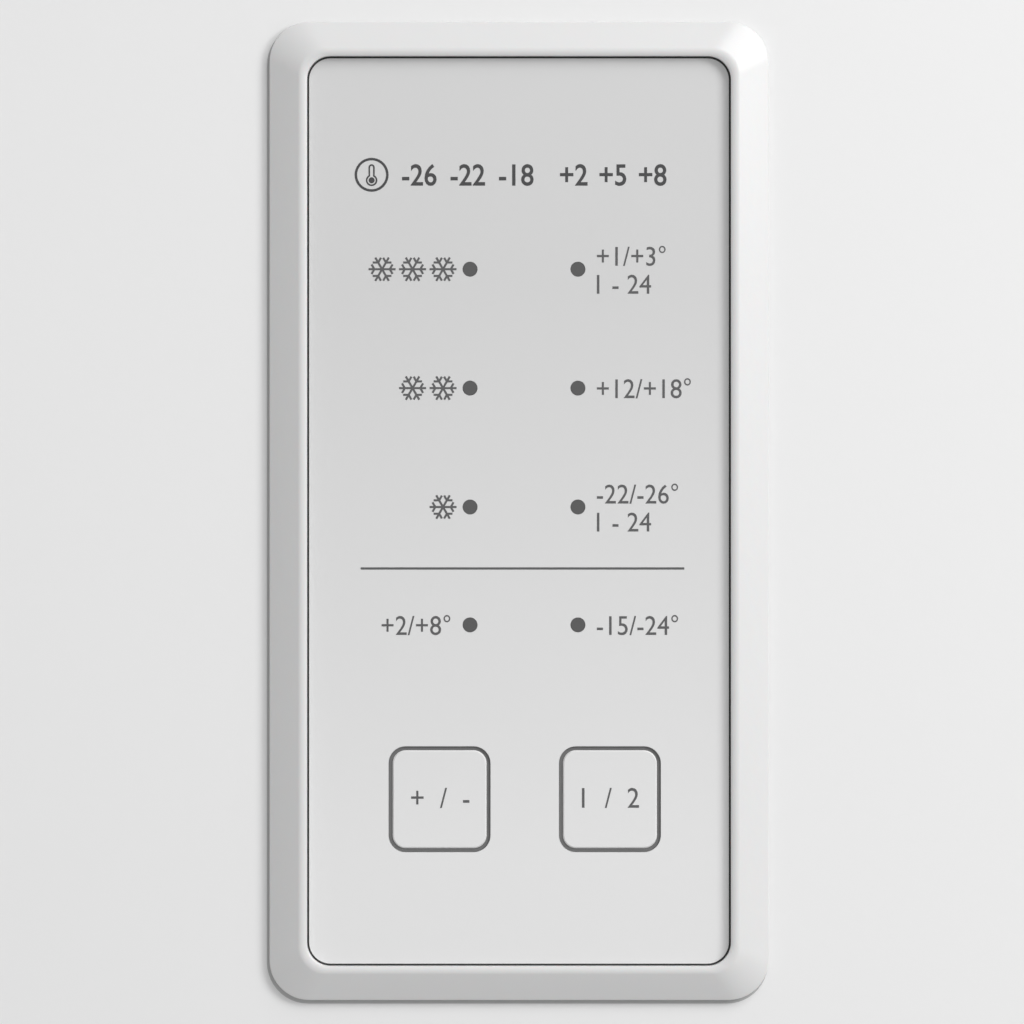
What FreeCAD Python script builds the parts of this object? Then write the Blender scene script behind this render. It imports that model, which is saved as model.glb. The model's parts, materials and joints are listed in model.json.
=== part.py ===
import FreeCAD, Part  # FreeCAD has to be imported before Part
import math
import os

# A two-zone stand refrigerator: one hinged door over the fridge room, and two pull-out drawers that share
# the freezer room below it. The hinged door carries an electronic control panel with two keys and eight
# lamp windows. Millimetres. X runs to the right as seen from the front, Y to the back and Z up. The origin
# is on the floor, under the middle of the whole refrigerator.

V = FreeCAD.Vector

# ---------------------------------------------------------------- driving dimensions
CABINET_W = 595.0        # outside width of cabinet, door and drawer fronts
CABINET_D = 600.0        # cabinet depth, without the fronts
CABINET_TOP = 1765.0     # top of the cabinet above the floor
CABINET_LOW = 28.0       # lower edge of the side walls
CABINET_R = 6.0          # bend radius of the wrapper's top edges
SHEET = 0.8              # painted sheet steel
RETURN_W = 20.0          # inward return of the wrapper round the front
SIDE_WALL = 48.0         # insulated walls, sheet and liner included
TOP_WALL = 50.0
BACK_WALL = 55.0
LINER = 1.5              # vacuum-formed liners
ROOM_R = 14.0            # corners of both rooms
DOOR_T = 60.0            # thickness of door and drawer fronts
DOOR_R = 12.0            # front vertical edges of the fronts
DOOR_BACK_R = 3.0
DOOR_LIP = 12.0          # lip of a front's skin, folded round the inner panel
SKIN = 0.7               # front skins
INNER_PANEL = 2.0        # plastic inner panels of the fronts
SEAL_GAP = 10.0          # space between a front and the cabinet
SEAL_W = 12.0
SEAL_RUN = 0.3           # clearance of a gasket to the cabinet
FRONT_GAP = 8.0          # gap between two fronts
LOWER_FRONT_Z = 100.0    # lower edge of the lower drawer's front
DRAWER_FRONT_H = 310.0
DOOR_TOP_CLEAR = 5.0     # cabinet top to door top
PARTITION_T = 60.0       # between fridge room and freezer room
DIVIDER_H = 60.0         # bar between the two drawers
DIVIDER_D = 35.0
DIVIDER_WALL = 3.0
BACK_RIB_W = 32.0        # embossed ribs of the back panel
BACK_RIB_OUT = 4.0
BACK_RIB_PITCH = 180.0
BACK_RIB_END = 125.0     # from a rib's end to the edge of the panel
PLATE_T = 2.0            # base plate
MACHINE_D = 208.0        # machine room at the lower back
MACHINE_TOP = 290.0
STEP_WALL = 45.0         # insulation round the machine room

HANDLE_OUT = 38.0        # bow handles
HANDLE_W = 24.0
HANDLE_T = 13.0
HANDLE_R = 30.0
DOOR_HANDLE_LEN = 330.0
DOOR_HANDLE_UP = 110.0   # door's lower edge to the handle's foot
DOOR_HANDLE_IN = 34.0    # side of the door to the handle's middle
DRAWER_HANDLE_LEN = 260.0
DRAWER_HANDLE_DROP = 46.0

RAIL_H = 35.0            # telescopic rails
RAIL_T = 1.2
RAIL_DEPTH = 10.0
RAIL_RUN = 0.4           # running clearance between two rail members
RAIL_TIP_BACK = 1.5      # the middle member's flanges end behind the fixed one's
RAIL_SHORT = 20.0        # how far a rail ends before its bin
RAIL_DROP = 26.0         # rim of a bin to the middle of its rails
RAIL_SPACE = 13.5        # from the liner to the bin
RAIL_START = 4.0         # front of the cabinet to the front of the rails
BIN_WALL = 2.5
BIN_RIM = 4.0            # lip round a bin's top
BIN_RISE = 8.0           # bottom of a bin above what lies below it
BIN_UNDER = 6.0          # top of a bin under what lies above it

PIN_R = 5.0              # hinge pins
PIN_RUN = 0.06           # radial clearance of a running fit
PIN_FORWARD = 28.0       # hinge axis in front of the door's inner face
PIN_BEHIND_LIP = 4.0     # hinge axis inside the outer edge of the gasket
PIN_IN_CAP = 18.0        # how deep a pin sits in its cap
CAP_H = 14.0             # end caps of the door
BOSS_WALL = 4.0
HINGE_T = 4.0            # hinge plates
HINGE_ARM = 12.0         # radius of a hinge plate about the pin
HINGE_COVER_H = 20.0
HINGE_COVER_WALL = 2.0

DYKE_W = 24.0            # raised frame of the door's inner panel
DYKE_DEEP = 34.0
DYKE_SIDE = 14.0         # its clearance to the side walls of the room
DYKE_END = 12.0          # and to the floor and ceiling
SHELF_COUNT = 3
SHELF_FIRST = 213.0      # floor of the fridge room to the lowest shelf
SHELF_LAST = 300.0       # top shelf to the ceiling
SHELF_T = 12.0
SHELF_LEDGE = 8.0        # ledges of the liner under the shelves
SHELF_CLEAR = 26.0       # door bins to the shelves
GLASS_T = 4.0
GLASS_IN = 7.0           # edge of a shelf to the edge of its glass
DOOR_BIN_COUNT = 3
DOOR_BIN_FIRST = 38.0    # floor of the fridge room to the lowest door bin
DOOR_BIN_LAST = 295.0    # top door bin to the ceiling
DOOR_BIN_DEEP = 92.0
DOOR_BIN_HIGH = 105.0
DOOR_BIN_R = 14.0
BIN_POST = 20.0          # corner posts at a door bin's open back
LUG = 4.0                # lugs of the inner panel under the door bins
WALL_CLEAR = 0.5         # loose parts to the wall beside them
DUCT_W = 300.0           # air duct cover on the back wall
DUCT_T = 24.0
DUCT_WALL = 3.0
DUCT_LOW = 60.0          # floor of the room to the duct cover
DUCT_HIGH = 30.0         # ceiling of the room to the duct cover
EVAPORATOR_H = 88.0
EVAPORATOR_UP = 8.0      # foot of the duct cover to the evaporator
EVAPORATOR_T = 1.5
FIN_COUNT = 13
FIN_T = 0.8
HEADER_H = 6.0
VENT_W = 68.0
VENT_H = 5.0
LENS_W = 120.0           # lens of the room lamp
LENS_H = 80.0
LENS_T = 5.0
LENS_OUT = 2.0
LENS_RUN = 0.2
SWITCH_X = -150.0        # lamp switch in the cabinet's front
SWITCH_R = 4.0
SWITCH_BACK = 22.0

ROLLER_R = 18.0          # rear rollers
ROLLER_W = 20.0
ROLLER_IN = 35.5         # side of the cabinet to the roller's middle
ROLLER_FROM_BACK = 50.0
ROLLER_CLEAR = 4.0       # roller to base plate
AXLE_R = 4.0
FOOT_R = 19.0            # front feet
FOOT_H = 12.0
FOOT_RIBS = 12
FOOT_IN = 39.5
FOOT_FROM_FRONT = 40.0
FOOT_STUD_R = 5.0
FOOT_STUD_UP = 6.0       # end of the stud above the base plate
KICK_SETBACK = 30.0      # fronts to the toe grille
KICK_LOW = 24.0
KICK_GAP = 5.0
KICK_WALL = 3.0
SLOT_H = 4.4             # slots of the toe grille
SLOT_W = 56.0
GLAND_R = 10.0           # cable gland
GLAND_IN = 35.5
GLAND_Z = 90.0
GLAND_BORE_R = 4.0
GLAND_LEN = 14.0

FAN_UP = 118.0           # base plate to the fan's axis
FAN_HOLE_R = 70.0
FAN_BLADE_R = 62.0
FAN_BLADES = 7
MOTOR_R = 24.0
MOTOR_LEN = 36.0
MOTOR_BACK = 8.0         # shroud to the motor
FAN_SHAFT_R = 2.5
SHROUD_T = 2.5
SPOKE_OUT = 20.0         # shroud to the motor's spokes
SPOKE_W = 8.0
SPOKE_T = 4.0
FAN_RIM_OVER = 6.0       # spokes past the hole's edge
SHAFT_BACK = 12.0        # motor's side of the shroud to the shaft's root
SHAFT_LEN = 32.0
HUB_BACK = 6.0
HUB_LEN = 24.0
HUB_IN = 2.0             # hub inside the motor's radius
BLADE_FROM = 5.0         # shroud to the blades
BLADE_T = 2.0
BLADE_W = 34.0
BLADE_PITCH = 32         # degrees
COMPRESSOR_IN = 173.5    # side of the cabinet to the compressor's axis
COMPRESSOR_R = 78.0
COMPRESSOR_H = 166.0     # height of its dome above the foot plate
DOME_RISE = 28.0         # bevelled part of the dome
DOME_TOP_R = 48.0
SEAM_Z = 78.0            # welded seam between its halves
SEAM_H = 6.0
SEAM_OUT = 3.0
RELAY_W = 52.0           # relay box on its side
RELAY_H = 58.0
RELAY_OUT = 20.0
RELAY_Z = 60.0
COMPRESSOR_FOOT = 184.0  # length of its foot plate
COMPRESSOR_FOOT_T = 3.5
COMPRESSOR_FOOT_IN = 16.0  # side of the dome to the side of its foot plate
GROMMET_R = 10.0
GROMMET_H = 12.0
GROMMET_IN = 6.0         # edge of the foot plate to a rubber mount
MACHINE_CLEAR = 6.0      # between the things in the machine room
COIL_TUBE_R = 2.5        # condenser
COIL_PITCH = 24.0
COIL_ROWS = 8
COIL_RUN = 124.0
COIL_FROM_FAN = 126.0
COIL_UP = 30.0           # base plate to the lowest run
COIL_PLATE_W = 28.0
COIL_PLATE_T = 1.2
COIL_PLATE_OVER = 14.0   # highest run to the plates' top
COIL_PLATE_IN = 8.0

# Control panel. Its own origin is the middle of the bezel.
PANEL_DROP = 305.0       # door's top to the panel's middle
BEZEL_W = 100.0
BEZEL_H = 196.0
BEZEL_R = 8.0
BEZEL_OUT = 4.4          # crest above the door's face
BEZEL_EDGE = 1.0         # upright outer edge
BEZEL_LIP_R = 1.4        # rolled inner lip
BEZEL_LIP_STEPS = 6
COVER_W = 84.0
COVER_H = 181.2
COVER_R = 4.3
COVER_T = 2.0
COVER_OUT = 2.6          # the cover's face above the door's face
COVER_GAP = 0.3
CUTOUT_IN = 3.8          # edge of the bezel to the hole in the door's skin
CUTOUT_R = 5.0
NECK_RUN = 0.3
NECK_D = 10.0
NECK_WALL = 1.8
LEDGE_W = 2.6            # ledge under the cover
LEDGE_T = 1.6
HOOK_OUT = 1.0           # snap hooks on the neck
HOOK_W = 8.0
HOOK_PITCH = 60.0
KEY_W = 20.4             # key openings in the cover
KEY_H = 21.2
KEY_R = 3.4
KEY_GAP = 0.8
KEY_BEVEL = 0.25
KEY_RIM = 1.2            # rim behind the cover that holds a key in
KEY_RIM_T = 0.8
KEY_TRAVEL = 0.5
KEY_RUN = 0.1
KEY_STEM_R = 2.0
KEY_DROP = 57.7          # the panel's middle to the keys
KEY_X = {"temp_key": -15.9, "zone_key": 18.2}
LAMP_R = 1.5             # lamp windows
LAMP_RUN = 0.05
LAMP_LONG = 7.6
LAMP_X = (-9.8, 11.8)
LAMP_Z = (48.4, 24.6, 0.8, -22.8)
BOARD_SIDE = 6.1         # circuit board to the inside of the neck
BOARD_H = 150.0
BOARD_T = 1.6
BOARD_Y = 8.2            # front of the circuit board behind the door's face
SWITCH_TALL = 4.3        # board to the top of a tact switch's button
STEM_CLEAR = 0.05
HOUSING_D = 24.0
HOUSING_WALL = 1.8

# ---------------------------------------------------------------- stations worked out from them
DEPTH = HANDLE_OUT + DOOR_T + SEAL_GAP + CABINET_D + BACK_RIB_OUT
HALF_W = CABINET_W / 2
FACE_Y = HANDLE_OUT - DEPTH / 2              # front face of door and drawers
INNER_Y = FACE_Y + DOOR_T                    # their inner face
CABINET_Y = INNER_Y + SEAL_GAP               # front of the cabinet
BACK_Y = CABINET_Y + CABINET_D
ROOM_X = HALF_W - SIDE_WALL                  # half the width of both rooms
ROOM_BACK_Y = BACK_Y - BACK_WALL
PLATE_TOP = 2 * ROLLER_R + ROLLER_CLEAR + PLATE_T
PLATE_LOW = PLATE_TOP - PLATE_T
UPPER_FRONT_Z = LOWER_FRONT_Z + DRAWER_FRONT_H + FRONT_GAP
DOOR_LOW = UPPER_FRONT_Z + DRAWER_FRONT_H + FRONT_GAP
DOOR_TOP = CABINET_TOP - DOOR_TOP_CLEAR
PANEL_Z = DOOR_TOP - PANEL_DROP
DIVIDER_Z = UPPER_FRONT_Z - FRONT_GAP / 2    # middle of the bar between the drawers
PARTITION_Z = DOOR_LOW - FRONT_GAP / 2
FREEZER_TOP = PARTITION_Z - PARTITION_T / 2
FRIDGE_LOW = PARTITION_Z + PARTITION_T / 2
FRIDGE_TOP = CABINET_TOP - TOP_WALL
FREEZER_LOW = LOWER_FRONT_Z + DOOR_LIP + SEAL_W + 3.0
MACHINE_Y = BACK_Y - MACHINE_D
MACHINE_MID_Y = BACK_Y - MACHINE_D / 2
STEP_Y = MACHINE_Y - STEP_WALL
STEP_Z = MACHINE_TOP + STEP_WALL
SEAL_X = HALF_W - DOOR_LIP                   # outer edge of a gasket
PIN_X = SEAL_X - PIN_BEHIND_LIP
PIN_Y = INNER_Y - PIN_FORWARD
BOSS_R = PIN_R + BOSS_WALL
BIN_X = ROOM_X - RAIL_SPACE
RAIL_Y = CABINET_Y + RAIL_START
DUCT_Y = ROOM_BACK_Y - DUCT_T
DUCT_Z = (FRIDGE_LOW + DUCT_LOW, FRIDGE_TOP - DUCT_HIGH)
DYKE_X = ROOM_X - DYKE_SIDE
DYKE_Z = (FRIDGE_LOW + DYKE_END, FRIDGE_TOP - DYKE_END)
SHELF_PITCH = (FRIDGE_TOP - SHELF_LAST - FRIDGE_LOW - SHELF_FIRST) / (SHELF_COUNT - 1)
SHELF_Z = [FRIDGE_LOW + SHELF_FIRST + SHELF_PITCH * i for i in range(SHELF_COUNT)]
SHELF_X = ROOM_X - WALL_CLEAR
SHELF_Y = (INNER_Y + DOOR_BIN_DEEP + SHELF_CLEAR, DUCT_Y - 1.0)
DOOR_BIN_PITCH = (FRIDGE_TOP - DOOR_BIN_LAST - FRIDGE_LOW - DOOR_BIN_FIRST) / (DOOR_BIN_COUNT - 1)
DOOR_BIN_Z = [FRIDGE_LOW + DOOR_BIN_FIRST + DOOR_BIN_PITCH * i for i in range(DOOR_BIN_COUNT)]
LENS_Z = (DUCT_Z[1] - 40.0 - LENS_H, DUCT_Z[1] - 40.0)
SWITCH_Z = (FRIDGE_TOP + DOOR_TOP - DOOR_LIP - SEAL_W) / 2
ROLLER_X = HALF_W - ROLLER_IN
ROLLER_Y = BACK_Y - ROLLER_FROM_BACK
FOOT_X = HALF_W - FOOT_IN
FOOT_Y = CABINET_Y + FOOT_FROM_FRONT
GLAND_X = GLAND_IN - HALF_W
FAN_Z = PLATE_TOP + FAN_UP
COMPRESSOR_X = COMPRESSOR_IN - HALF_W
FAN_X = COMPRESSOR_X + COMPRESSOR_R + RELAY_OUT + MACHINE_CLEAR + MOTOR_BACK + MOTOR_LEN
COIL_X = FAN_X + COIL_FROM_FAN
HOLE_W = COVER_W + 2 * COVER_GAP             # the bezel's hole
HOLE_H = COVER_H + 2 * COVER_GAP
HOLE_R = COVER_R + COVER_GAP
CUTOUT_W = BEZEL_W - 2 * CUTOUT_IN
CUTOUT_H = BEZEL_H - 2 * CUTOUT_IN
NECK_W = CUTOUT_W - 2 * NECK_RUN
NECK_H = CUTOUT_H - 2 * NECK_RUN
COVER_BACK = COVER_T - COVER_OUT             # the cover's back, behind the door's face
KEY_Z = -KEY_DROP
BOARD_W = NECK_W - 2 * NECK_WALL - 2 * BOARD_SIDE
HOUSING_W = CUTOUT_W + 2 * HOUSING_WALL
HOUSING_H = CUTOUT_H + 2 * HOUSING_WALL
HOUSING_R = CUTOUT_R + HOUSING_WALL
DRAWERS = {
    "upper": {"front": (UPPER_FRONT_Z, UPPER_FRONT_Z + DRAWER_FRONT_H),
              "bin": (DIVIDER_Z + DIVIDER_H / 2 + BIN_RISE, FREEZER_TOP - 36.0),
              "bin_back": ROOM_BACK_Y - 38.0},
    "lower": {"front": (LOWER_FRONT_Z, LOWER_FRONT_Z + DRAWER_FRONT_H),
              "bin": (FREEZER_LOW + BIN_RISE, DIVIDER_Z - DIVIDER_H / 2 - BIN_UNDER),
              "bin_back": STEP_Y - 10.0},
}


# ---------------------------------------------------------------- helpers
def box(x0, x1, y0, y1, z0, z1):
    """A block between two corners."""
    return Part.makeBox(x1 - x0, y1 - y0, z1 - z0, V(x0, y0, z0))


def rounded_wire(u, v, radii, place):
    """A closed outline, u[0]..u[1] by v[0]..v[1], with a radius at each corner from the low one round."""
    corners = [(u[0], v[0]), (u[1], v[0]), (u[1], v[1]), (u[0], v[1])]
    inward = [(1, 1), (-1, 1), (-1, -1), (1, -1)]
    part_way = 1 - math.sqrt(0.5)
    turns = []
    for (cu, cv), (su, sv), r in zip(corners, inward, radii):
        across, along = (cu, cv + sv * r), (cu + su * r, cv)
        middle = (cu + su * r * part_way, cv + sv * r * part_way)
        turns.append((across, middle, along) if su == sv else (along, middle, across))
    edges = []
    for i, (start, middle, stop) in enumerate(turns):
        if math.dist(start, stop) > 1e-6:
            edges.append(Part.Arc(place(*start), place(*middle), place(*stop)).toShape())
        following = turns[(i + 1) % len(turns)][0]
        if math.dist(stop, following) > 1e-6:
            edges.append(Part.LineSegment(place(*stop), place(*following)).toShape())
    return Part.Wire(edges)


def on_y(y):
    """Places an outline's points on the upright plane at y."""
    return lambda a, b: V(a, y, b)


def on_z(z):
    """Places an outline's points on the level plane at z."""
    return lambda a, b: V(a, b, z)


def on_x(x):
    """Places an outline's points on the plane across the refrigerator at x."""
    return lambda a, b: V(x, a, b)


def upright(x, z, radii, y0, y1):
    """A rounded block drawn on an upright plane, from y0 back to y1."""
    return Part.Face(rounded_wire(x, z, radii, on_y(y0))).extrude(V(0, y1 - y0, 0))


def level(x, y, radii, z0, z1):
    """A rounded block drawn on a level plane, from z0 up to z1."""
    return Part.Face(rounded_wire(x, y, radii, on_z(z0))).extrude(V(0, 0, z1 - z0))


def slot(x, z, length, height, y0, y1):
    """A slot along X about (x, z), cut through from y0 to y1."""
    return box(x - length / 2, x + length / 2, y0, y1, z - height / 2, z + height / 2)


def panel_block(w, h, r, y0, y1, x=0.0, z=0.0):
    """A rounded block of the control panel, about (x, z) from the panel's middle, y from the door's face."""
    return upright((x - w / 2, x + w / 2), (PANEL_Z + z - h / 2, PANEL_Z + z + h / 2), [r] * 4,
                   FACE_Y + y0, FACE_Y + y1)


def polygon(points, place, sweep):
    """A prism from straight-sided points."""
    corners = [place(a, b) for a, b in points]
    return Part.Face(Part.makePolygon(corners + corners[:1])).extrude(sweep)


def rod(r, start, sweep):
    """A round rod from a start point along a vector."""
    return Part.makeCylinder(r, sweep.Length, start, sweep)


def hexagon(r, centre, height):
    """Upright hexagonal screw head of corner radius r."""
    turns = [math.pi / 3 * i for i in range(6)]
    points = [(centre.x + r * math.cos(a), centre.y + r * math.sin(a)) for a in turns]
    return polygon(points, on_z(centre.z), V(0, 0, height))


def fuse(shapes):
    """Joins touching shapes into one clean solid."""
    return shapes[0].multiFuse(shapes[1:]).removeSplitter()


def cut_all(shape, tools):
    """Takes a list of shapes out of one."""
    return shape.cut(Part.makeCompound(tools))


def mirrored(shape):
    """The same shape on the other side of the middle plane."""
    return shape.mirror(V(0, 0, 0), V(1, 0, 0))


def fillet(shape, r, keep):
    """Rounds every edge for which keep(edge) is true."""
    return shape.makeFillet(r, [e for e in shape.Edges if keep(e)])


def chamfer(shape, size, keep):
    """Bevels every edge for which keep(edge) is true."""
    return shape.makeChamfer(size, [e for e in shape.Edges if keep(e)])


def lies_at(**where):
    """A test for edges whose middle lies at the given x, y or z."""
    return lambda edge: all(abs(getattr(edge.CenterOfMass, k) - v) < 0.05 for k, v in where.items())


def runs_along(axis):
    """A test for straight edges along one axis."""
    def test(edge):
        return isinstance(edge.Curve, Part.Line) and abs(abs(edge.Curve.Direction.dot(axis)) - 1) < 1e-6
    return test


def both(first, second):
    """A test for edges that pass two tests."""
    return lambda edge: first(edge) and second(edge)


X_AXIS, Y_AXIS, Z_AXIS = V(1, 0, 0), V(0, 1, 0), V(0, 0, 1)


def export(name, *shapes):
    """Writes one node, whose solids are the given shapes."""
    solids = [s for shape in shapes for s in shape.Solids]
    whole = solids[0] if len(solids) == 1 else Part.makeCompound(solids)
    if not whole.isValid():
        print("invalid:", name)
    whole.exportStep("parts/" + name + ".step")


# ---------------------------------------------------------------- cabinet
def cabinet_block(inset, y0, y1, low):
    """The cabinet's section, inset all round, as a block from y0 to y1 whose underside is at low."""
    r = max(CABINET_R - inset, 0.0)
    return upright((inset - HALF_W, HALF_W - inset), (low, CABINET_TOP - inset), [0, 0, r, r], y0, y1)


def room(z0, z1, y1, grow):
    """A room with rounded corners from the cabinet's front to y1, grown on every side but the front."""
    half, r = ROOM_X + grow, ROOM_R + grow
    return upright((-half, half), (z0 - grow, z1 + grow), [r] * 4, CABINET_Y, y1 + grow)


def freezer_room(grow):
    """The freezer room: deep at the top and shallow below, where it steps over the machine room."""
    low = room(FREEZER_LOW, FREEZER_TOP, STEP_Y, grow)
    return fuse([low, room(STEP_Z, FREEZER_TOP, ROOM_BACK_Y, grow)])


def fridge_room(grow):
    """The fridge room."""
    return room(FRIDGE_LOW, FRIDGE_TOP, ROOM_BACK_Y, grow)


def cabinet_shell():
    """Painted wrapper: both sides and the top in one sheet, with returns round the front."""
    outer = cabinet_block(0.0, CABINET_Y, BACK_Y, CABINET_LOW)
    inside = cabinet_block(SHEET, CABINET_Y + SHEET, BACK_Y, CABINET_LOW)
    front = cabinet_block(RETURN_W, CABINET_Y, CABINET_Y + SHEET, CABINET_LOW)
    return outer.cut(inside).cut(front)


def machine_space(grow):
    """The space of the machine room up to the sheet that lines it."""
    half = HALF_W - SHEET
    return box(-half, half, MACHINE_Y - grow, BACK_Y, PLATE_TOP, MACHINE_TOP + grow)


def switch_body(grow):
    """The lamp switch's body behind the front frame."""
    return upright((SWITCH_X - 10 - grow, SWITCH_X + 10 + grow), (SWITCH_Z - 7 - grow, SWITCH_Z + 7 + grow),
                   [2 + grow] * 4, CABINET_Y, CABINET_Y + SWITCH_BACK + grow)


def cabinet_foam():
    """Insulation between wrapper, liners and back, in one piece, hollow for the switch and the feet's studs."""
    block = cabinet_block(SHEET, CABINET_Y + INNER_PANEL, BACK_Y - SHEET, PLATE_TOP)
    studs = [rod(FOOT_STUD_R + 2.0, V(x, FOOT_Y, PLATE_TOP), V(0, 0, FOOT_STUD_UP + 4.0))
             for x in (-FOOT_X, FOOT_X)]
    hollows = [fridge_room(LINER), freezer_room(LINER), machine_space(SHEET), switch_body(0.0)]
    return cut_all(block, hollows + studs)


def front_frame(z0, z1):
    """Flat frame of a liner on the cabinet's front, between the wrapper's returns."""
    half = HALF_W - RETURN_W
    return box(-half, half, CABINET_Y, CABINET_Y + INNER_PANEL, z0, z1)


def shelf_ledge(z):
    """Ledge of the liner's right wall that carries a shelf, with a sloping underside."""
    profile = [(ROOM_X, z - 2 * SHELF_LEDGE), (ROOM_X, z), (ROOM_X - SHELF_LEDGE, z),
               (ROOM_X - SHELF_LEDGE, z - SHELF_LEDGE)]
    return polygon(profile, on_y(SHELF_Y[0] + 6.0), V(0, SHELF_Y[1] - SHELF_Y[0] - 6.0, 0))


def fridge_liner():
    """Liner of the fridge room: a formed box with a front frame and ledges for the shelves."""
    shell = fridge_room(LINER).fuse(front_frame(FRIDGE_LOW, CABINET_TOP - RETURN_W))
    below = box(-HALF_W, HALF_W, CABINET_Y, CABINET_Y + INNER_PANEL, FRIDGE_LOW - 2 * LINER, FRIDGE_LOW)
    shell = cut_all(shell, [fridge_room(0.0), below, switch_body(0.0)])
    ledges = [shelf_ledge(z) for z in SHELF_Z]
    return fuse([shell, *ledges, *[mirrored(ledge) for ledge in ledges]])


def freezer_liner():
    """Liner of the freezer room, stepped over the machine room, with a front frame."""
    shell = freezer_room(LINER).fuse(front_frame(PLATE_TOP + 20.0, FREEZER_TOP))
    above = box(-HALF_W, HALF_W, CABINET_Y, CABINET_Y + INNER_PANEL, FREEZER_TOP, FREEZER_TOP + 2 * LINER)
    return shell.cut(freezer_room(0.0)).cut(above).removeSplitter()


def upper_mullion():
    """Cover strip on the front edge of the partition between the rooms."""
    return front_frame(FREEZER_TOP, FRIDGE_LOW)


def drawer_divider():
    """Bar across the freezer room, on which both drawers seal: a channel with rounded back edges."""
    z0, z1 = DIVIDER_Z - DIVIDER_H / 2, DIVIDER_Z + DIVIDER_H / 2
    back = CABINET_Y + DIVIDER_D
    bar = box(-ROOM_X, ROOM_X, CABINET_Y, back, z0, z1)
    bar = fillet(bar, DIVIDER_WALL, both(runs_along(X_AXIS), lies_at(y=back)))
    t = DIVIDER_WALL
    return bar.cut(box(t - ROOM_X, ROOM_X - t, CABINET_Y + t, back, z0 + t, z1 - t))


def base_plate():
    """Galvanised floor with the machine room's lining, the front lip, and the rollers' ears and axles."""
    half = HALF_W - SHEET
    pieces = [
        box(-half, half, CABINET_Y + SHEET, BACK_Y - SHEET, PLATE_LOW, PLATE_TOP),
        box(RETURN_W - HALF_W, HALF_W - RETURN_W, CABINET_Y, CABINET_Y + SHEET, PLATE_LOW, PLATE_TOP + 20.0),
        box(-half, half, MACHINE_Y - SHEET, MACHINE_Y, PLATE_TOP, MACHINE_TOP),
        box(-half, half, MACHINE_Y - SHEET, BACK_Y - SHEET, MACHINE_TOP, MACHINE_TOP + SHEET),
    ]
    reach = ROLLER_W / 2 + 1.0
    end = reach + PLATE_T + 1.0
    for x in (ROLLER_X - reach - PLATE_T, ROLLER_X + reach):
        ear = box(x, x + PLATE_T, ROLLER_Y - 14, ROLLER_Y + 14, ROLLER_R, PLATE_LOW)
        tip = rod(14.0, V(x, ROLLER_Y, ROLLER_R), V(PLATE_T, 0, 0))
        pieces += [ear, tip, mirrored(ear), mirrored(tip)]
    axle = rod(AXLE_R, V(ROLLER_X - end, ROLLER_Y, ROLLER_R), V(2 * end, 0, 0))
    holes = [rod(FOOT_STUD_R + PIN_RUN, V(x, FOOT_Y, CABINET_LOW), V(0, 0, PLATE_TOP - CABINET_LOW + 1))
             for x in (-FOOT_X, FOOT_X)]
    return cut_all(fuse([*pieces, axle, mirrored(axle)]), holes)


def levelling_foot(x):
    """Screw foot: a ribbed disc to turn by hand, a collar under the base plate, and the stud through it."""
    rim = []
    for i in range(4 * FOOT_RIBS):
        angle, r = 2 * math.pi * (i + 0.5) / (4 * FOOT_RIBS), FOOT_R - (1.2 if i % 4 > 1 else 0.0)
        rim.append((x + r * math.cos(angle), FOOT_Y + r * math.sin(angle)))
    disc = polygon(rim, on_z(0.0), V(0, 0, FOOT_H))
    collar = rod(FOOT_STUD_R + 4.0, V(x, FOOT_Y, FOOT_H), V(0, 0, PLATE_LOW - FOOT_H - 0.3))
    stud = rod(FOOT_STUD_R, V(x, FOOT_Y, FOOT_H), V(0, 0, PLATE_TOP + FOOT_STUD_UP - FOOT_H))
    return fuse([disc, collar, stud])


def rear_roller():
    """Right rear roller with bevelled edges."""
    wheel = rod(ROLLER_R, V(ROLLER_X - ROLLER_W / 2, ROLLER_Y, ROLLER_R), V(ROLLER_W, 0, 0))
    wheel = chamfer(wheel, 1.5, lambda e: e.Length > 4 * ROLLER_R)
    return wheel.cut(rod(AXLE_R + PIN_RUN, V(ROLLER_X - ROLLER_W, ROLLER_Y, ROLLER_R), V(2 * ROLLER_W, 0, 0)))


def kick_grille():
    """Toe grille under the lower drawer: a shell with a rolled top edge and rows of air slots."""
    y0, z0, z1 = FACE_Y + KICK_SETBACK, KICK_LOW, LOWER_FRONT_Z - KICK_GAP
    half, t = HALF_W - 6.0, KICK_WALL
    shell = box(-half, half, y0, CABINET_Y, z0, z1)
    shell = fillet(shell, 2 * t, both(runs_along(X_AXIS), lies_at(y=y0, z=z1)))
    shell = shell.cut(box(t - half, half - t, y0 + t, CABINET_Y, z0, z1 - t))
    pitch = (2 * half - SLOT_W - 30.0) / 6
    slots = [slot((column - 3) * pitch, z0 + 18.0 + 14.0 * row, SLOT_W, SLOT_H, y0 - 1, y0 + t + 1)
             for row in range(3) for column in range(7)]
    return cut_all(shell, slots)


def back_panel():
    """Rear sheet with embossed stiffening ribs."""
    sheet = cabinet_block(SHEET, BACK_Y - SHEET, BACK_Y, MACHINE_TOP + SHEET)
    z = (MACHINE_TOP + BACK_RIB_END, CABINET_TOP - BACK_RIB_END)
    half, ribs = BACK_RIB_W / 2, []
    for x in (-BACK_RIB_PITCH, 0.0, BACK_RIB_PITCH):
        foot = rounded_wire((x - half, x + half), z, [half] * 4, on_y(BACK_Y))
        inner = half - BACK_RIB_OUT
        crown = rounded_wire((x - inner, x + inner), (z[0] + BACK_RIB_OUT, z[1] - BACK_RIB_OUT), [inner] * 4,
                             on_y(BACK_Y + BACK_RIB_OUT))
        ribs.append(Part.makeLoft([foot, crown], True, True))
    return fuse([sheet, *ribs])


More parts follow.
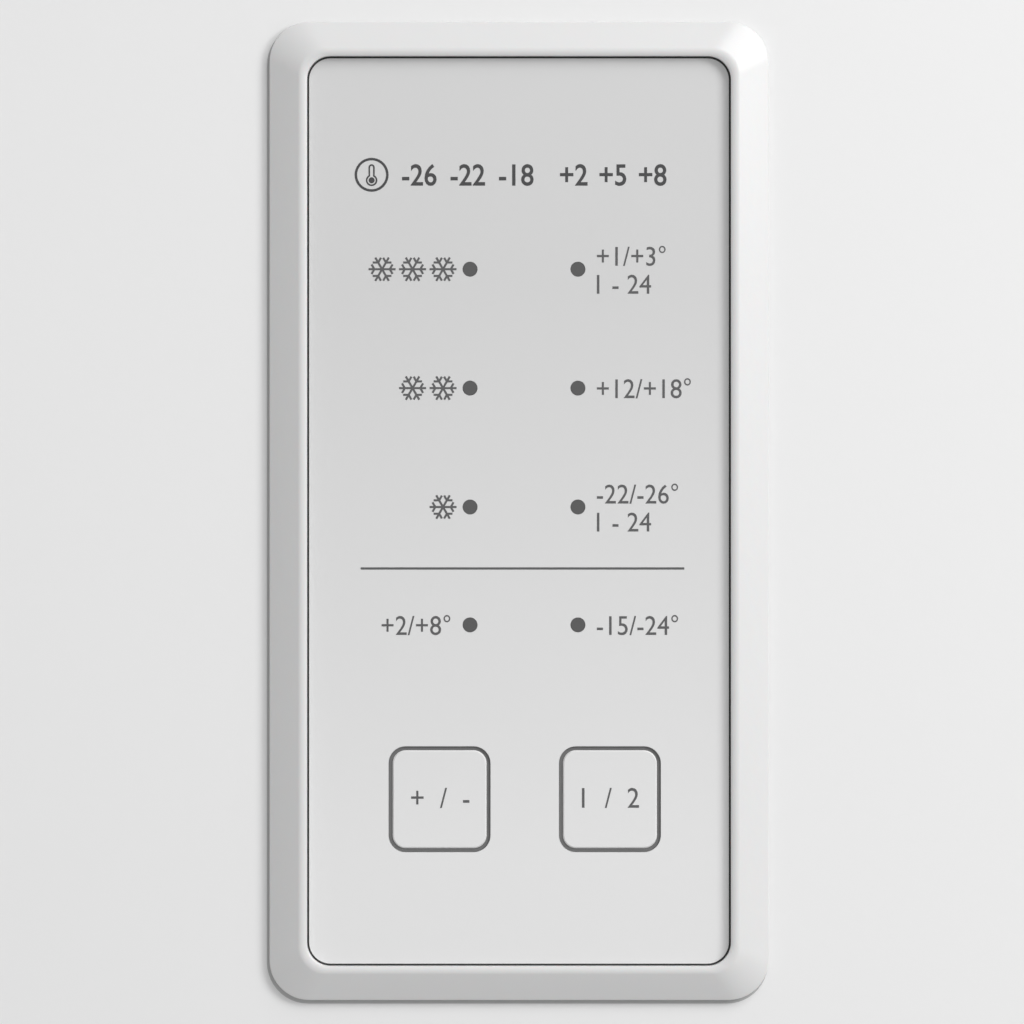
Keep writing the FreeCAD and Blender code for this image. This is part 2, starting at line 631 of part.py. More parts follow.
def machine_cover():
    """Pressed steel cover of the machine room, with two fields of slots and a hole for the gland."""
    half = HALF_W - SHEET
    sheet = box(-half, half, BACK_Y - SHEET, BACK_Y, PLATE_LOW, MACHINE_TOP + SHEET)
    slots = [slot(x, PLATE_TOP + 56.0 + row * 16.0, 170.0, 5.0, BACK_Y - 2, BACK_Y + 1)
             for x in (-125.0, 125.0) for row in range(10)]
    return cut_all(sheet, [*slots, rod(GLAND_R, V(GLAND_X, BACK_Y - 5, GLAND_Z), V(0, 10, 0))])


def cable_gland():
    """Gland for a mains lead: a neck through the cover with a flange outside, and a bore for the lead."""
    y = BACK_Y + BACK_RIB_OUT - GLAND_LEN
    neck = rod(GLAND_R, V(GLAND_X, y, GLAND_Z), V(0, GLAND_LEN, 0))
    outside = rod(GLAND_R + 3.0, V(GLAND_X, BACK_Y, GLAND_Z), V(0, 2.5, 0))
    return fuse([neck, outside]).cut(rod(GLAND_BORE_R, V(GLAND_X, y, GLAND_Z), V(0, GLAND_LEN, 0)))


# ---------------------------------------------------------------- machine room
def compressor():
    """Hermetic compressor: two domed halves with a welded seam, a relay box and a foot plate."""
    r, z0, seam = COMPRESSOR_R, PLATE_TOP + GROMMET_H, (SEAM_Z, SEAM_Z + SEAM_H)
    profile = [(0, 0), (r, 0), (r, seam[0]), (r + SEAM_OUT, seam[0]), (r + SEAM_OUT, seam[1]), (r, seam[1]),
               (r, COMPRESSOR_H - DOME_RISE), (DOME_TOP_R, COMPRESSOR_H), (0, COMPRESSOR_H)]
    points = [V(COMPRESSOR_X + a, MACHINE_MID_Y, z0 + b) for a, b in profile]
    half = Part.Face(Part.makePolygon(points + points[:1]))
    dome = half.revolve(V(COMPRESSOR_X, MACHINE_MID_Y, 0), Z_AXIS, 360)
    long, deep = COMPRESSOR_FOOT / 2, COMPRESSOR_R - COMPRESSOR_FOOT_IN
    foot = level((COMPRESSOR_X - long, COMPRESSOR_X + long), (MACHINE_MID_Y - deep, MACHINE_MID_Y + deep),
                 [12] * 4, z0, z0 + COMPRESSOR_FOOT_T)
    relay = box(COMPRESSOR_X, COMPRESSOR_X + r + RELAY_OUT, MACHINE_MID_Y - RELAY_W / 2,
                MACHINE_MID_Y + RELAY_W / 2, z0 + RELAY_Z, z0 + RELAY_Z + RELAY_H)
    return fuse([dome, foot, relay])


def compressor_grommets():
    """Four rubber mounts under the foot plate."""
    x = COMPRESSOR_FOOT / 2 - GROMMET_R - GROMMET_IN
    y = COMPRESSOR_R - COMPRESSOR_FOOT_IN - GROMMET_R - GROMMET_IN
    return [rod(GROMMET_R, V(COMPRESSOR_X + sx * x, MACHINE_MID_Y + sy * y, PLATE_TOP), V(0, 0, GROMMET_H))
            for sx in (-1, 1) for sy in (-1, 1)]


def condenser_coil():
    """Serpentine condenser tube, six-sided with mitred bends, on two plates that stand on the base plate."""
    ends = (MACHINE_MID_Y - COIL_RUN / 2, MACHINE_MID_Y + COIL_RUN / 2)
    z0, path = PLATE_TOP + COIL_UP, []
    for row in range(COIL_ROWS):
        z = z0 + COIL_PITCH * row
        start, stop = ends if row % 2 == 0 else ends[::-1]
        bulge = math.copysign(COIL_PITCH / 3, stop - start)
        path += [(start, z), (stop, z)]
        if row < COIL_ROWS - 1:
            path += [(stop + bulge, z + COIL_PITCH / 4), (stop + bulge, z + COIL_PITCH * 3 / 4)]
    turns = [2 * math.pi * i / 6 for i in range(6)]
    corners = [V(COIL_X + COIL_TUBE_R * math.cos(a), ends[0], z0 + COIL_TUBE_R * math.sin(a)) for a in turns]
    section = Part.makePolygon(corners + corners[:1])
    spine = Part.makePolygon([V(COIL_X, y, z) for y, z in path])
    tube = spine.makePipeShell([section], True, False, 1)
    top = z0 + COIL_PITCH * (COIL_ROWS - 1) + COIL_PLATE_OVER
    w, t = COIL_PLATE_W / 2, COIL_PLATE_T / 2
    plates = [box(COIL_X - w, COIL_X + w, y - t, y + t, PLATE_TOP, top)
              for y in (ends[0] + COIL_PLATE_IN, ends[1] - COIL_PLATE_IN)]
    return fuse([tube, *plates])


def fan_bracket():
    """Fan shroud with its ring, three spokes, motor and shaft."""
    y, w, t = MACHINE_MID_Y, SPOKE_W / 2, SPOKE_T
    plate = box(FAN_X, FAN_X + SHROUD_T, MACHINE_Y + 4, BACK_Y - 8, PLATE_TOP, MACHINE_TOP)
    hole = rod(FAN_HOLE_R, V(FAN_X - 1, y, FAN_Z), V(SHROUD_T + 2, 0, 0))
    pieces = [plate.cut(hole),
              rod(MOTOR_R, V(FAN_X - MOTOR_LEN - MOTOR_BACK, y, FAN_Z), V(MOTOR_LEN, 0, 0)),
              rod(FAN_SHAFT_R, V(FAN_X - SHAFT_BACK, y, FAN_Z), V(SHAFT_LEN, 0, 0))]
    root, rim, tip = FAN_X - SPOKE_OUT, FAN_Z + FAN_HOLE_R + 1, FAN_Z + FAN_HOLE_R + FAN_RIM_OVER
    for i in range(3):
        spoke = fuse([box(root, root + t, y - w, y + w, FAN_Z + MOTOR_R - t, tip),
                      box(root, FAN_X, y - w, y + w, rim, tip)])
        spoke.rotate(V(FAN_X, y, FAN_Z), X_AXIS, 120 * i + 60)
        pieces.append(spoke)
    return fuse(pieces)


def cooling_fan():
    """Rotor on the motor's shaft: a hub with pitched blades."""
    x, y, w, hub = FAN_X + BLADE_FROM, MACHINE_MID_Y, BLADE_W / 2, MOTOR_R - HUB_IN
    centre = V(x + BLADE_T / 2, y, FAN_Z)
    blades = []
    for i in range(FAN_BLADES):
        blade = box(x, x + BLADE_T, y - w, y + w, FAN_Z + hub - 3, FAN_Z + FAN_BLADE_R)
        blade.rotate(centre, Z_AXIS, BLADE_PITCH)
        blade.rotate(centre, X_AXIS, 360 / FAN_BLADES * i)
        blades.append(blade)
    rotor = fuse([rod(hub, V(FAN_X - HUB_BACK, y, FAN_Z), V(HUB_LEN, 0, 0)), *blades])
    return rotor.cut(rod(FAN_SHAFT_R + PIN_RUN, V(FAN_X - SHAFT_LEN, y, FAN_Z), V(2 * SHAFT_LEN, 0, 0)))


# ---------------------------------------------------------------- fridge room
def duct_cover():
    """Air duct cover on the back wall, with vents over each shelf and an opening for the lamp's lens."""
    half, t = DUCT_W / 2, DUCT_WALL
    cover = box(-half, half, DUCT_Y, ROOM_BACK_Y, *DUCT_Z)
    cover = fillet(cover, 10.0, both(runs_along(Z_AXIS), lies_at(y=DUCT_Y)))
    hollow = (DUCT_Z[0] + 2 * t, DUCT_Z[1] - 2 * t)
    cover = cover.cut(box(2 * t - half, half - 2 * t, DUCT_Y + t, ROOM_BACK_Y, *hollow))
    vents = [slot(side * (half - VENT_W), z + 95.0 + 11.0 * row, VENT_W, VENT_H, DUCT_Y - 1, DUCT_Y + t + 1)
             for z in SHELF_Z for row in range(3) for side in (-1, 1)]
    return cut_all(cover, [*vents, lens_block(0.0, DUCT_Y - 1, DUCT_Y + t + 1)])


def lens_block(inset, y0, y1):
    """The lens's outline, inset all round."""
    half = LENS_W / 2 - inset
    return upright((-half, half), (LENS_Z[0] + inset, LENS_Z[1] - inset), [8 - inset] * 4, y0, y1)


def lamp_lens():
    """Lens of the room lamp, clipped into the duct cover."""
    front = DUCT_Y - LENS_OUT
    return chamfer(lens_block(LENS_RUN, front, front + LENS_T), 1.6, lambda e: e.CenterOfMass.y < front + 0.01)


def evaporator():
    """Finned evaporator inside the duct."""
    y0, y1, z0 = DUCT_Y + DUCT_WALL + 2.0, ROOM_BACK_Y, DUCT_Z[0] + EVAPORATOR_UP
    half, z1, back = DUCT_W / 2 - 4 * DUCT_WALL, z0 + EVAPORATOR_H, y1 - EVAPORATOR_T
    pitch = (2 * half - FIN_T) / (FIN_COUNT - 1)
    fins = [box(pitch * i - half, pitch * i - half + FIN_T, y0, back, z0, z1) for i in range(FIN_COUNT)]
    headers = [box(-half, half, y0 + 4 * FIN_T, back, z, z + HEADER_H)
               for z in (z0 + 2 * HEADER_H, z1 - 3 * HEADER_H)]
    return fuse([box(-half, half, back, y1, z0, z1), *fins, *headers])


def shelf_frame(z):
    """Moulded rim of a shelf, with a deeper rounded front rail and a seat for the glass."""
    y0, y1 = SHELF_Y
    front = box(-SHELF_X, SHELF_X, y0 - 6.0, y0 + SHELF_T, z - 10.0, z + SHELF_T + 2)
    front = fillet(front, 4.0, both(runs_along(X_AXIS), lies_at(y=y0 - 6.0)))
    frame = fuse([box(-SHELF_X, SHELF_X, y0, y1, z, z + SHELF_T), front])
    inner = SHELF_X - GLASS_IN
    cuts = [box(5 - inner, inner - 5, y0 + 18, y1 - 12, z - 1, z + SHELF_T + 1), shelf_glass(z),
            box(2 - inner, inner - 2, y0 + 14, y1 - 9, z + 4, z + SHELF_T + 1)]
    cuts += [box(side * ROOM_X - 9, side * ROOM_X + 9, y0 - 7, y0 + SHELF_T + 1, z - 11, z) for side in (-1, 1)]
    return cut_all(frame, cuts)


def shelf_glass(z):
    """Toughened glass plate in its frame."""
    inner = SHELF_X - GLASS_IN
    return box(-inner, inner, SHELF_Y[0] + 9, SHELF_Y[1] - GLASS_IN, z + 4, z + 4 + GLASS_T)


def lamp_switch_housing():
    """Body of the lamp switch, let into the front frame above the fridge room."""
    flange = upright((SWITCH_X - 14, SWITCH_X + 14), (SWITCH_Z - 9, SWITCH_Z + 9), [3] * 4,
                     CABINET_Y - 1.2, CABINET_Y)
    hole = rod(SWITCH_R + PIN_RUN, V(SWITCH_X, CABINET_Y - 3, SWITCH_Z), V(0, SWITCH_BACK - 3, 0))
    return fuse([flange, switch_body(0.0)]).cut(hole)


def lamp_switch_plunger():
    """Plunger that the closed door holds in, with a bevelled tip."""
    tip = INNER_Y + SEAL_RUN
    stem = rod(SWITCH_R, V(SWITCH_X, tip, SWITCH_Z), V(0, CABINET_Y + SWITCH_BACK - 8.0 - tip, 0))
    return chamfer(stem, 1.5, lies_at(y=tip))


# ---------------------------------------------------------------- hinges of the door
def pin_arm(z0, y_back):
    """Level plate that reaches from the cabinet to the hinge pin, rounded about the pin."""
    x0, x1 = PIN_X - 14.0, PIN_X + 11.0
    eye = rod(HINGE_ARM, V(PIN_X, PIN_Y, z0), V(0, 0, HINGE_T))
    eye = eye.common(box(x0, x1, PIN_Y - 2 * HINGE_ARM, PIN_Y, z0, z0 + HINGE_T))
    return fuse([box(x0, x1, PIN_Y, y_back, z0, z0 + HINGE_T), eye])


def top_hinge():
    """Upper hinge: a plate screwed on the cabinet's top, with a pin down into the door."""
    z0 = CABINET_TOP
    foot = level((PIN_X - 66, PIN_X + 11), (CABINET_Y + 4, CABINET_Y + 50), [6] * 4, z0, z0 + HINGE_T)
    pin = rod(PIN_R, V(PIN_X, PIN_Y, DOOR_TOP - PIN_IN_CAP), V(0, 0, z0 + 1 - DOOR_TOP + PIN_IN_CAP))
    screws = [hexagon(5.0, V(PIN_X + dx, CABINET_Y + 28, z0 + 3), 4.0) for dx in (-50, -24, 0)]
    return fuse([pin_arm(z0, CABINET_Y + 50.0), foot, pin, *screws])


def hinge_cover():
    """Moulded cap over the upper hinge, with a bevelled top edge."""
    x, y, t = (PIN_X - 74, PIN_X + 15), (PIN_Y - 16, CABINET_Y + 62), HINGE_COVER_WALL
    top = CABINET_TOP + HINGE_COVER_H
    cap = level(x, y, [5, 10, 10, 5], CABINET_TOP, top)
    cap = chamfer(cap, 4.0, lies_at(z=top))
    return cap.cut(level((x[0] + t, x[1] - t), (y[0] + t, y[1] - t), [3, 8, 8, 3], CABINET_TOP, top - t - 1))


def lower_hinge():
    """Middle hinge: a plate in the gap under the door, a pin up into the door, and a flange on the cabinet."""
    z0 = DOOR_LOW - FRONT_GAP / 2 - HINGE_T / 2
    flange = box(PIN_X - 19, PIN_X + 14, CABINET_Y - 3, CABINET_Y, z0 - 12, z0 + 12)
    pin = rod(PIN_R, V(PIN_X, PIN_Y, z0 + 3), V(0, 0, DOOR_LOW + PIN_IN_CAP - z0 - 3))
    return fuse([pin_arm(z0, CABINET_Y), flange, pin])


# ---------------------------------------------------------------- fronts
def front_block(inset, z0, z1):
    """Plan of a front, inset all round, as a block from z0 to z1."""
    front_r, back_r = DOOR_R - inset, max(DOOR_BACK_R - inset, 0.5)
    return level((inset - HALF_W, HALF_W - inset), (FACE_Y + inset, INNER_Y - inset),
                 [front_r, front_r, back_r, back_r], z0, z1)


def inner_panel_block(z0, z1):
    """The space between a skin's lips, where the inner panel lies."""
    return box(-SEAL_X, SEAL_X, INNER_Y - INNER_PANEL, INNER_Y, z0, z1)


def core_block(z0, z1):
    """Insulation between the skin and the plane of the inner panel."""
    return front_block(SKIN, z0, z1).common(box(-HALF_W, HALF_W, FACE_Y, INNER_Y - INNER_PANEL, z0, z1))


def frame_ring(x, z, width, y0, y1):
    """A rectangular frame: x and z are its outer half-width and (low, high), width is that of its sides."""
    inner = box(width - x, x - width, y0, y1, z[0] + width, z[1] - width)
    return box(-x, x, y0, y1, *z).cut(inner)


def gasket(z0, z1):
    """Magnetic gasket of a front: foot, thin bellows and magnet head."""
    head = CABINET_Y - SEAL_RUN
    steps = [(0.0, SEAL_W, INNER_Y, INNER_Y + 2.5), (2.5, SEAL_W - 5, INNER_Y + 2.5, head - 4.0),
             (0.5, SEAL_W - 1, head - 4.0, head)]
    return fuse([frame_ring(SEAL_X - inset, (z0 + DOOR_LIP + inset, z1 - DOOR_LIP - inset), width, y0, y1)
                 for inset, width, y0, y1 in steps])


def arch_points(half, out, r):
    """Half-outline of a bow: foot, start, middle and end of its corner, as (along, out)."""
    part_way = 1 - math.sqrt(0.5)
    return [(half, 0.0), (half, out - r), (half - r * part_way, out - r * part_way), (half - r, out)]


def bow_handle(length, place, across):
    """Bow handle: a flat bar bent forward at both ends, with bevelled edges. across is the bar's width."""
    outer = arch_points(length / 2, HANDLE_OUT, HANDLE_R)
    inner = arch_points(length / 2 - HANDLE_T, HANDLE_OUT - HANDLE_T, HANDLE_R - HANDLE_T)
    edges = []
    for points in (outer, inner):
        for side in (-1, 1):
            p = [place(side * a, b) for a, b in points]
            edges += [Part.LineSegment(p[0], p[1]).toShape(), Part.Arc(p[1], p[2], p[3]).toShape()]
        edges.append(Part.LineSegment(place(-points[3][0], points[3][1]), place(*points[3])).toShape())
    for side in (-1, 1):
        edges.append(Part.LineSegment(place(side * outer[0][0], 0.0), place(side * inner[0][0], 0.0)).toShape())
    bow = Part.Face(Part.Wire(Part.sortEdges(edges)[0])).extrude(across * HANDLE_W)
    bow.translate(across * (-HANDLE_W / 2))
    feet = place(0.0, 0.0).y

    def on_a_flat_side(edge):
        """Edges of the bow's two flat sides, but not those on the door."""
        level_with = [v.Point.dot(across) for v in edge.Vertexes]
        return abs(level_with[0] - level_with[-1]) < 1e-6 and edge.CenterOfMass.y < feet - 0.01

    return chamfer(bow, HANDLE_T / 4, on_a_flat_side)


def drawer_skin(z0, z1):
    """Pressed skin of a drawer front: a pan with lips round the back."""
    pan = front_block(0.0, z0, z1).cut(front_block(SKIN, z0 + SKIN, z1 - SKIN))
    return pan.cut(inner_panel_block(z0 + SKIN, z1 - SKIN))


def drawer_bin(z, y1):
    """Open drawer bin with rounded lower edges and a lip round its rim."""
    outer = box(-BIN_X, BIN_X, INNER_Y, y1, *z)
    outer = fillet(outer, 8.0, lambda e: abs(e.CenterOfMass.z - z[0]) < 0.1 and e.CenterOfMass.y > INNER_Y + 1)
    t = BIN_WALL
    inner = box(t - BIN_X, BIN_X - t, INNER_Y + t, y1 - t, z[0] + t, z[1] + 1)
    inner = fillet(inner, 8.0 - t, lies_at(z=z[0] + t))
    rim = level((-BIN_X - BIN_RIM, BIN_X + BIN_RIM), (INNER_Y, y1 + BIN_RIM), [0.5, 0.5, BIN_RIM, BIN_RIM],
                z[1] - t, z[1])
    return fuse([outer, rim]).cut(inner)


def channel(web, tip, height, z, length):
    """Right-hand rail member: a channel whose web is at x = web and whose flanges reach to x = tip."""
    inside = web + math.copysign(RAIL_T, tip - web)
    low, high, t = z - height / 2, z + height / 2, RAIL_T
    points = [(web, low), (tip, low), (tip, low + t), (inside, low + t), (inside, high - t), (tip, high - t),
              (tip, high), (web, high)]
    return polygon(points, on_y(RAIL_Y), V(0, length, 0))


def rail_members(drawer):
    """Fixed, middle and inner rail on the right wall, nested with their running clearance."""
    z, length = drawer["bin"][1] - RAIL_DROP, drawer["bin_back"] - RAIL_SHORT - RAIL_Y
    step = RAIL_T + RAIL_RUN
    fixed = channel(ROOM_X, ROOM_X - RAIL_DEPTH, RAIL_H, z, length)
    middle = channel(ROOM_X - step, ROOM_X - RAIL_DEPTH - RAIL_TIP_BACK, RAIL_H - 2 * step, z, length)
    inner = channel(BIN_X, ROOM_X - 2 * step, RAIL_H - 4 * step, z, length)
    return fixed, middle, inner


# ---------------------------------------------------------------- door
def door_skin():
    """Door skin: the front with both edges folded round to lips, and the hole for the control panel."""
    z0, z1 = DOOR_LOW + CAP_H, DOOR_TOP - CAP_H
    skin = front_block(0.0, z0, z1).cut(front_block(SKIN, z0, z1)).cut(inner_panel_block(z0, z1))
    return skin.cut(panel_block(CUTOUT_W, CUTOUT_H, CUTOUT_R, -1.0, 5.0))


def hinge_boss(z0, z1):
    """Round boss about the hinge axis."""
    return rod(BOSS_R, V(PIN_X, PIN_Y, z0), V(0, 0, z1 - z0))


def door_cap(edge, inward):
    """End cap of the door at height edge, with the bearing for a hinge pin; inward is +1 for the lower cap."""
    def span(a, b):
        """Heights a and b, measured from the edge into the door, in order."""
        return sorted((edge + inward * a, edge + inward * b))

    cap = fillet(front_block(0.0, *span(0.0, CAP_H)), 1.5, lies_at(z=edge))
    whole = fuse([cap, hinge_boss(*span(CAP_H, PIN_IN_CAP + 6.0))])
    low, high = span(-1.0, PIN_IN_CAP + 1.0)
    return whole.cut(rod(PIN_R + PIN_RUN, V(PIN_X, PIN_Y, low), V(0, 0, high - low)))


def dyke(inset, y0, y1):
    """The raised frame of the door's inner panel that reaches into the room, inset on all sides."""
    return frame_ring(DYKE_X - inset, (DYKE_Z[0] + inset, DYKE_Z[1] - inset), DYKE_W - 2 * inset, y0, y1)


def door_liner():
    """Formed inner panel of the door: flat border, raised frame, and lugs for the door bins."""
    z0, z1 = DOOR_LOW + CAP_H, DOOR_TOP - CAP_H
    crest = INNER_Y + DYKE_DEEP
    frame = fillet(dyke(0.0, INNER_Y, crest), INNER_PANEL, lambda e: abs(e.CenterOfMass.y - crest) < 0.1)
    inner_x, lugs = DYKE_X - DYKE_W, []
    for z in DOOR_BIN_Z:
        lug = box(inner_x - LUG, inner_x, INNER_Y, crest - 8.0, z - 2 * LUG, z)
        lugs += [lug, mirrored(lug)]
    solid = fuse([inner_panel_block(z0, z1), frame, *lugs])
    return solid.cut(dyke(INNER_PANEL, INNER_Y - INNER_PANEL, crest - INNER_PANEL))


def door_foam():
    """Insulation of the door, with a pocket for the panel's housing and one for each hinge boss."""
    z0, z1 = DOOR_LOW + CAP_H, DOOR_TOP - CAP_H
    filled = dyke(INNER_PANEL, INNER_Y - INNER_PANEL, INNER_Y + DYKE_DEEP - INNER_PANEL)
    foam = fuse([core_block(z0, z1), filled])
    bosses = [hinge_boss(z0, DOOR_LOW + PIN_IN_CAP + 6.0), hinge_boss(DOOR_TOP - PIN_IN_CAP - 6.0, z1)]
    return cut_all(foam, [*bosses, panel_block(HOUSING_W, HOUSING_H, HOUSING_R, 0.0, SKIN + HOUSING_D)])


def door_bin(z):
    """Door bin: an open tray on two lugs, with rounded front corners, closed at the back by the door."""
    half, t = DYKE_X - DYKE_W - WALL_CLEAR, BIN_WALL
    y0, y1, top = INNER_Y + WALL_CLEAR, INNER_Y + DOOR_BIN_DEEP, z + DOOR_BIN_HIGH
    r = DOOR_BIN_R
    outer = level((-half, half), (y0, y1), [0.5, 0.5, r, r], z, top)
    inner = level((t - half, half - t), (y0 + t, y1 - t), [0.5, 0.5, r - t, r - t], z + t, top + 1)
    open_back = box(BIN_POST - half, half - BIN_POST, y0 - 1, y0 + t, z + t, top + 1)
    low_front = box(t + r - half, half - t - r, y1 - t, y1 + 1, top - 16.0, top + 1)
    return cut_all(outer, [inner, open_back, low_front])


# ---------------------------------------------------------------- control panel
def bezel_section():
    """The bezel's section from its foot over the crest to the hole, as (share of the way in, height).

    A straight slope rises from the upright edge and meets the rolled lip on a tangent. The lip is an arc
    that ends square to the cover.
    """
    reach = (BEZEL_W - HOLE_W) / 2
    r, cx, cy = BEZEL_LIP_R, reach - BEZEL_LIP_R, BEZEL_OUT - BEZEL_LIP_R
    slope = math.atan2(cy - BEZEL_EDGE, cx) + math.asin(r / math.hypot(cx, cy - BEZEL_EDGE))
    turn = slope + math.pi / 2
    points = [(0.0, 0.0), (0.0, BEZEL_EDGE)]
    for i in range(BEZEL_LIP_STEPS + 1):
        angle = turn * (1 - i / BEZEL_LIP_STEPS)
        points.append((cx + r * math.cos(angle), cy + r * math.sin(angle)))
    return [(x / reach, out) for x, out in points]


def bezel_wire(w, h, r, out):
    """Rounded outline of the bezel, out in front of the door's face."""
    return rounded_wire((-w / 2, w / 2), (PANEL_Z - h / 2, PANEL_Z + h / 2), [r] * 4, on_y(FACE_Y - out))


def band(first, second):
    """The faces between two outlines: flat where both lie at the same depth, else ruled."""
    if abs(first.CenterOfMass.y - second.CenterOfMass.y) > 1e-6:
        return Part.makeLoft([first, second], False, True).Faces
    outer, inner = sorted((first, second), key=lambda wire: -wire.Length)
    return Part.Face(outer).cut(Part.Face(inner)).Faces


def panel_bezel():
    """Bezel: a ring drawn through a closed series of rounded outlines, and snap hooks on its neck."""
    wires = []
    for share, out in bezel_section():
        wires.append(bezel_wire(BEZEL_W + share * (HOLE_W - BEZEL_W), BEZEL_H + share * (HOLE_H - BEZEL_H),
                                BEZEL_R + share * (HOLE_R - BEZEL_R), out))
    window = (HOLE_W - 2 * LEDGE_W, HOLE_H - 2 * LEDGE_W, HOLE_R - 1.0)
    inside = (NECK_W - 2 * NECK_WALL, NECK_H - 2 * NECK_WALL, HOLE_R - 1.0)
    neck = (NECK_W, NECK_H, CUTOUT_R - NECK_RUN)
    behind = -COVER_BACK - LEDGE_T
    wires += [bezel_wire(HOLE_W, HOLE_H, HOLE_R, -COVER_BACK), bezel_wire(*window, -COVER_BACK),
              bezel_wire(*window, behind), bezel_wire(*inside, behind), bezel_wire(*inside, -NECK_D),
              bezel_wire(*neck, -NECK_D), bezel_wire(*neck, 0.0)]
    bands = [band(a, b) for a, b in zip(wires, wires[1:] + wires[:1])]
    skin = Part.makeShell([face for faces in bands for face in faces])
    skin.sewShape()
    ring = Part.Solid(skin.Shells[0])
    if ring.Volume < 0:
        ring.reverse()
    hooks = []
    for z in (-HOOK_PITCH, 0.0, HOOK_PITCH):
        y = FACE_Y + SKIN + PIN_RUN
        hook = polygon([(-0.5, 0), (0, 0), (HOOK_OUT, 2.0), (0, 6.0), (-0.5, 6.0)],
                       lambda a, b: V(NECK_W / 2 + a, y + b, PANEL_Z + z - HOOK_W / 2), V(0, 0, HOOK_W))
        hooks += [hook, mirrored(hook)]
    return fuse([ring, *hooks])


def lamp_rods(r, y0, y1):
    """A round rod at each lamp window, between two distances behind the door's face."""
    return [rod(r, V(x, FACE_Y + y0, PANEL_Z + z), V(0, y1 - y0, 0)) for x in LAMP_X for z in LAMP_Z]


def panel_cover():
    """Flat cover of the panel, with two key openings and eight lamp holes."""
    plate = panel_block(COVER_W, COVER_H, COVER_R, -COVER_OUT, COVER_BACK)
    holes = [panel_block(KEY_W, KEY_H, KEY_R, -COVER_OUT - 1, COVER_BACK + 1, x, KEY_Z) for x in KEY_X.values()]
    return cut_all(plate, holes + lamp_rods(LAMP_R, -COVER_OUT - 1, COVER_BACK + 1))


def light_guide():
    """Clear moulding behind the cover: eight pins in the lamp holes, joined by a ladder of bars."""
    y0, y1 = COVER_BACK, COVER_BACK + 1.2
    pins = lamp_rods(LAMP_R - LAMP_RUN, -COVER_OUT, LAMP_LONG - COVER_OUT)
    span, middle = LAMP_Z[0] - LAMP_Z[-1], (LAMP_Z[0] + LAMP_Z[-1]) / 2
    bars = [panel_block(5.0, span + 5.0, 0.0, y0, y1, x, middle) for x in LAMP_X]
    rungs = [panel_block(LAMP_X[1] - LAMP_X[0], 3.0, 0.0, y0, y1, sum(LAMP_X) / 2, z)
             for z in (LAMP_Z[0], LAMP_Z[-1])]
    return fuse(bars + rungs + pins)


def panel_key(x):
    """One key: cap level with the cover, a rim behind the cover, and a stem towards its switch."""
    rim0 = COVER_BACK + KEY_RUN
    rim1 = rim0 + KEY_RIM_T
    cap = panel_block(KEY_W - 2 * KEY_GAP, KEY_H - 2 * KEY_GAP, KEY_R - KEY_GAP, -COVER_OUT, rim0, x, KEY_Z)
    cap = chamfer(cap, KEY_BEVEL, lambda e: e.CenterOfMass.y < FACE_Y - COVER_OUT + 0.01)
    rim = panel_block(KEY_W + 2 * KEY_RIM, KEY_H + 2 * KEY_RIM, KEY_R, rim0, rim1, x, KEY_Z)
    stem_end = BOARD_Y - SWITCH_TALL - KEY_TRAVEL - STEM_CLEAR
    stem = rod(KEY_STEM_R, V(x, FACE_Y + rim1, PANEL_Z + KEY_Z), V(0, stem_end - rim1, 0))
    return fuse([cap, rim, stem])


def panel_board():
    """Circuit board with a lamp under each light pin, a tact switch under each key and a connector."""
    solids = [panel_block(BOARD_W, BOARD_H, 0.0, BOARD_Y, BOARD_Y + BOARD_T)]
    for x in LAMP_X:
        solids += [panel_block(3.0, 3.0, 0.0, BOARD_Y - 1.4, BOARD_Y, x, z) for z in LAMP_Z]
    for x in KEY_X.values():
        body = panel_block(6.0, 6.0, 0.0, BOARD_Y - SWITCH_TALL + 1.0, BOARD_Y, x, KEY_Z)
        button = rod(1.7, V(x, FACE_Y + BOARD_Y - SWITCH_TALL, PANEL_Z + KEY_Z), V(0, 1.0, 0))
        solids.append(fuse([body, button]))
    solids.append(panel_block(24.0, 7.0, 0.0, BOARD_Y + BOARD_T, BOARD_Y + BOARD_T + 6.0, 0.0, 40.0))
    return solids


def panel_housing():
    """Box behind the door's skin that takes the bezel's hooks and carries the board on four posts."""
    y0, y1 = SKIN, SKIN + HOUSING_D
    inner = panel_block(CUTOUT_W, CUTOUT_H, CUTOUT_R, y0, y1 - HOUSING_WALL)
    shell = panel_block(HOUSING_W, HOUSING_H, HOUSING_R, y0, y1).cut(inner)
    board_back = BOARD_Y + BOARD_T
    posts = [rod(3.0, V(sx * (BOARD_W / 2 - 5), FACE_Y + board_back, PANEL_Z + sz * (BOARD_H / 2 - 5)),
                 V(0, y1 - HOUSING_WALL - board_back, 0)) for sx in (-1, 1) for sz in (-1, 1)]
    windows = [panel_block(NECK_W + 2 * HOOK_OUT + 2 * NECK_RUN, HOOK_W + 1, 0.0, y0 + 0.5, y0 + 7.0, 0.0, z)
               for z in (-HOOK_PITCH, 0.0, HOOK_PITCH)]
    return cut_all(fuse([shell, *posts]), windows)


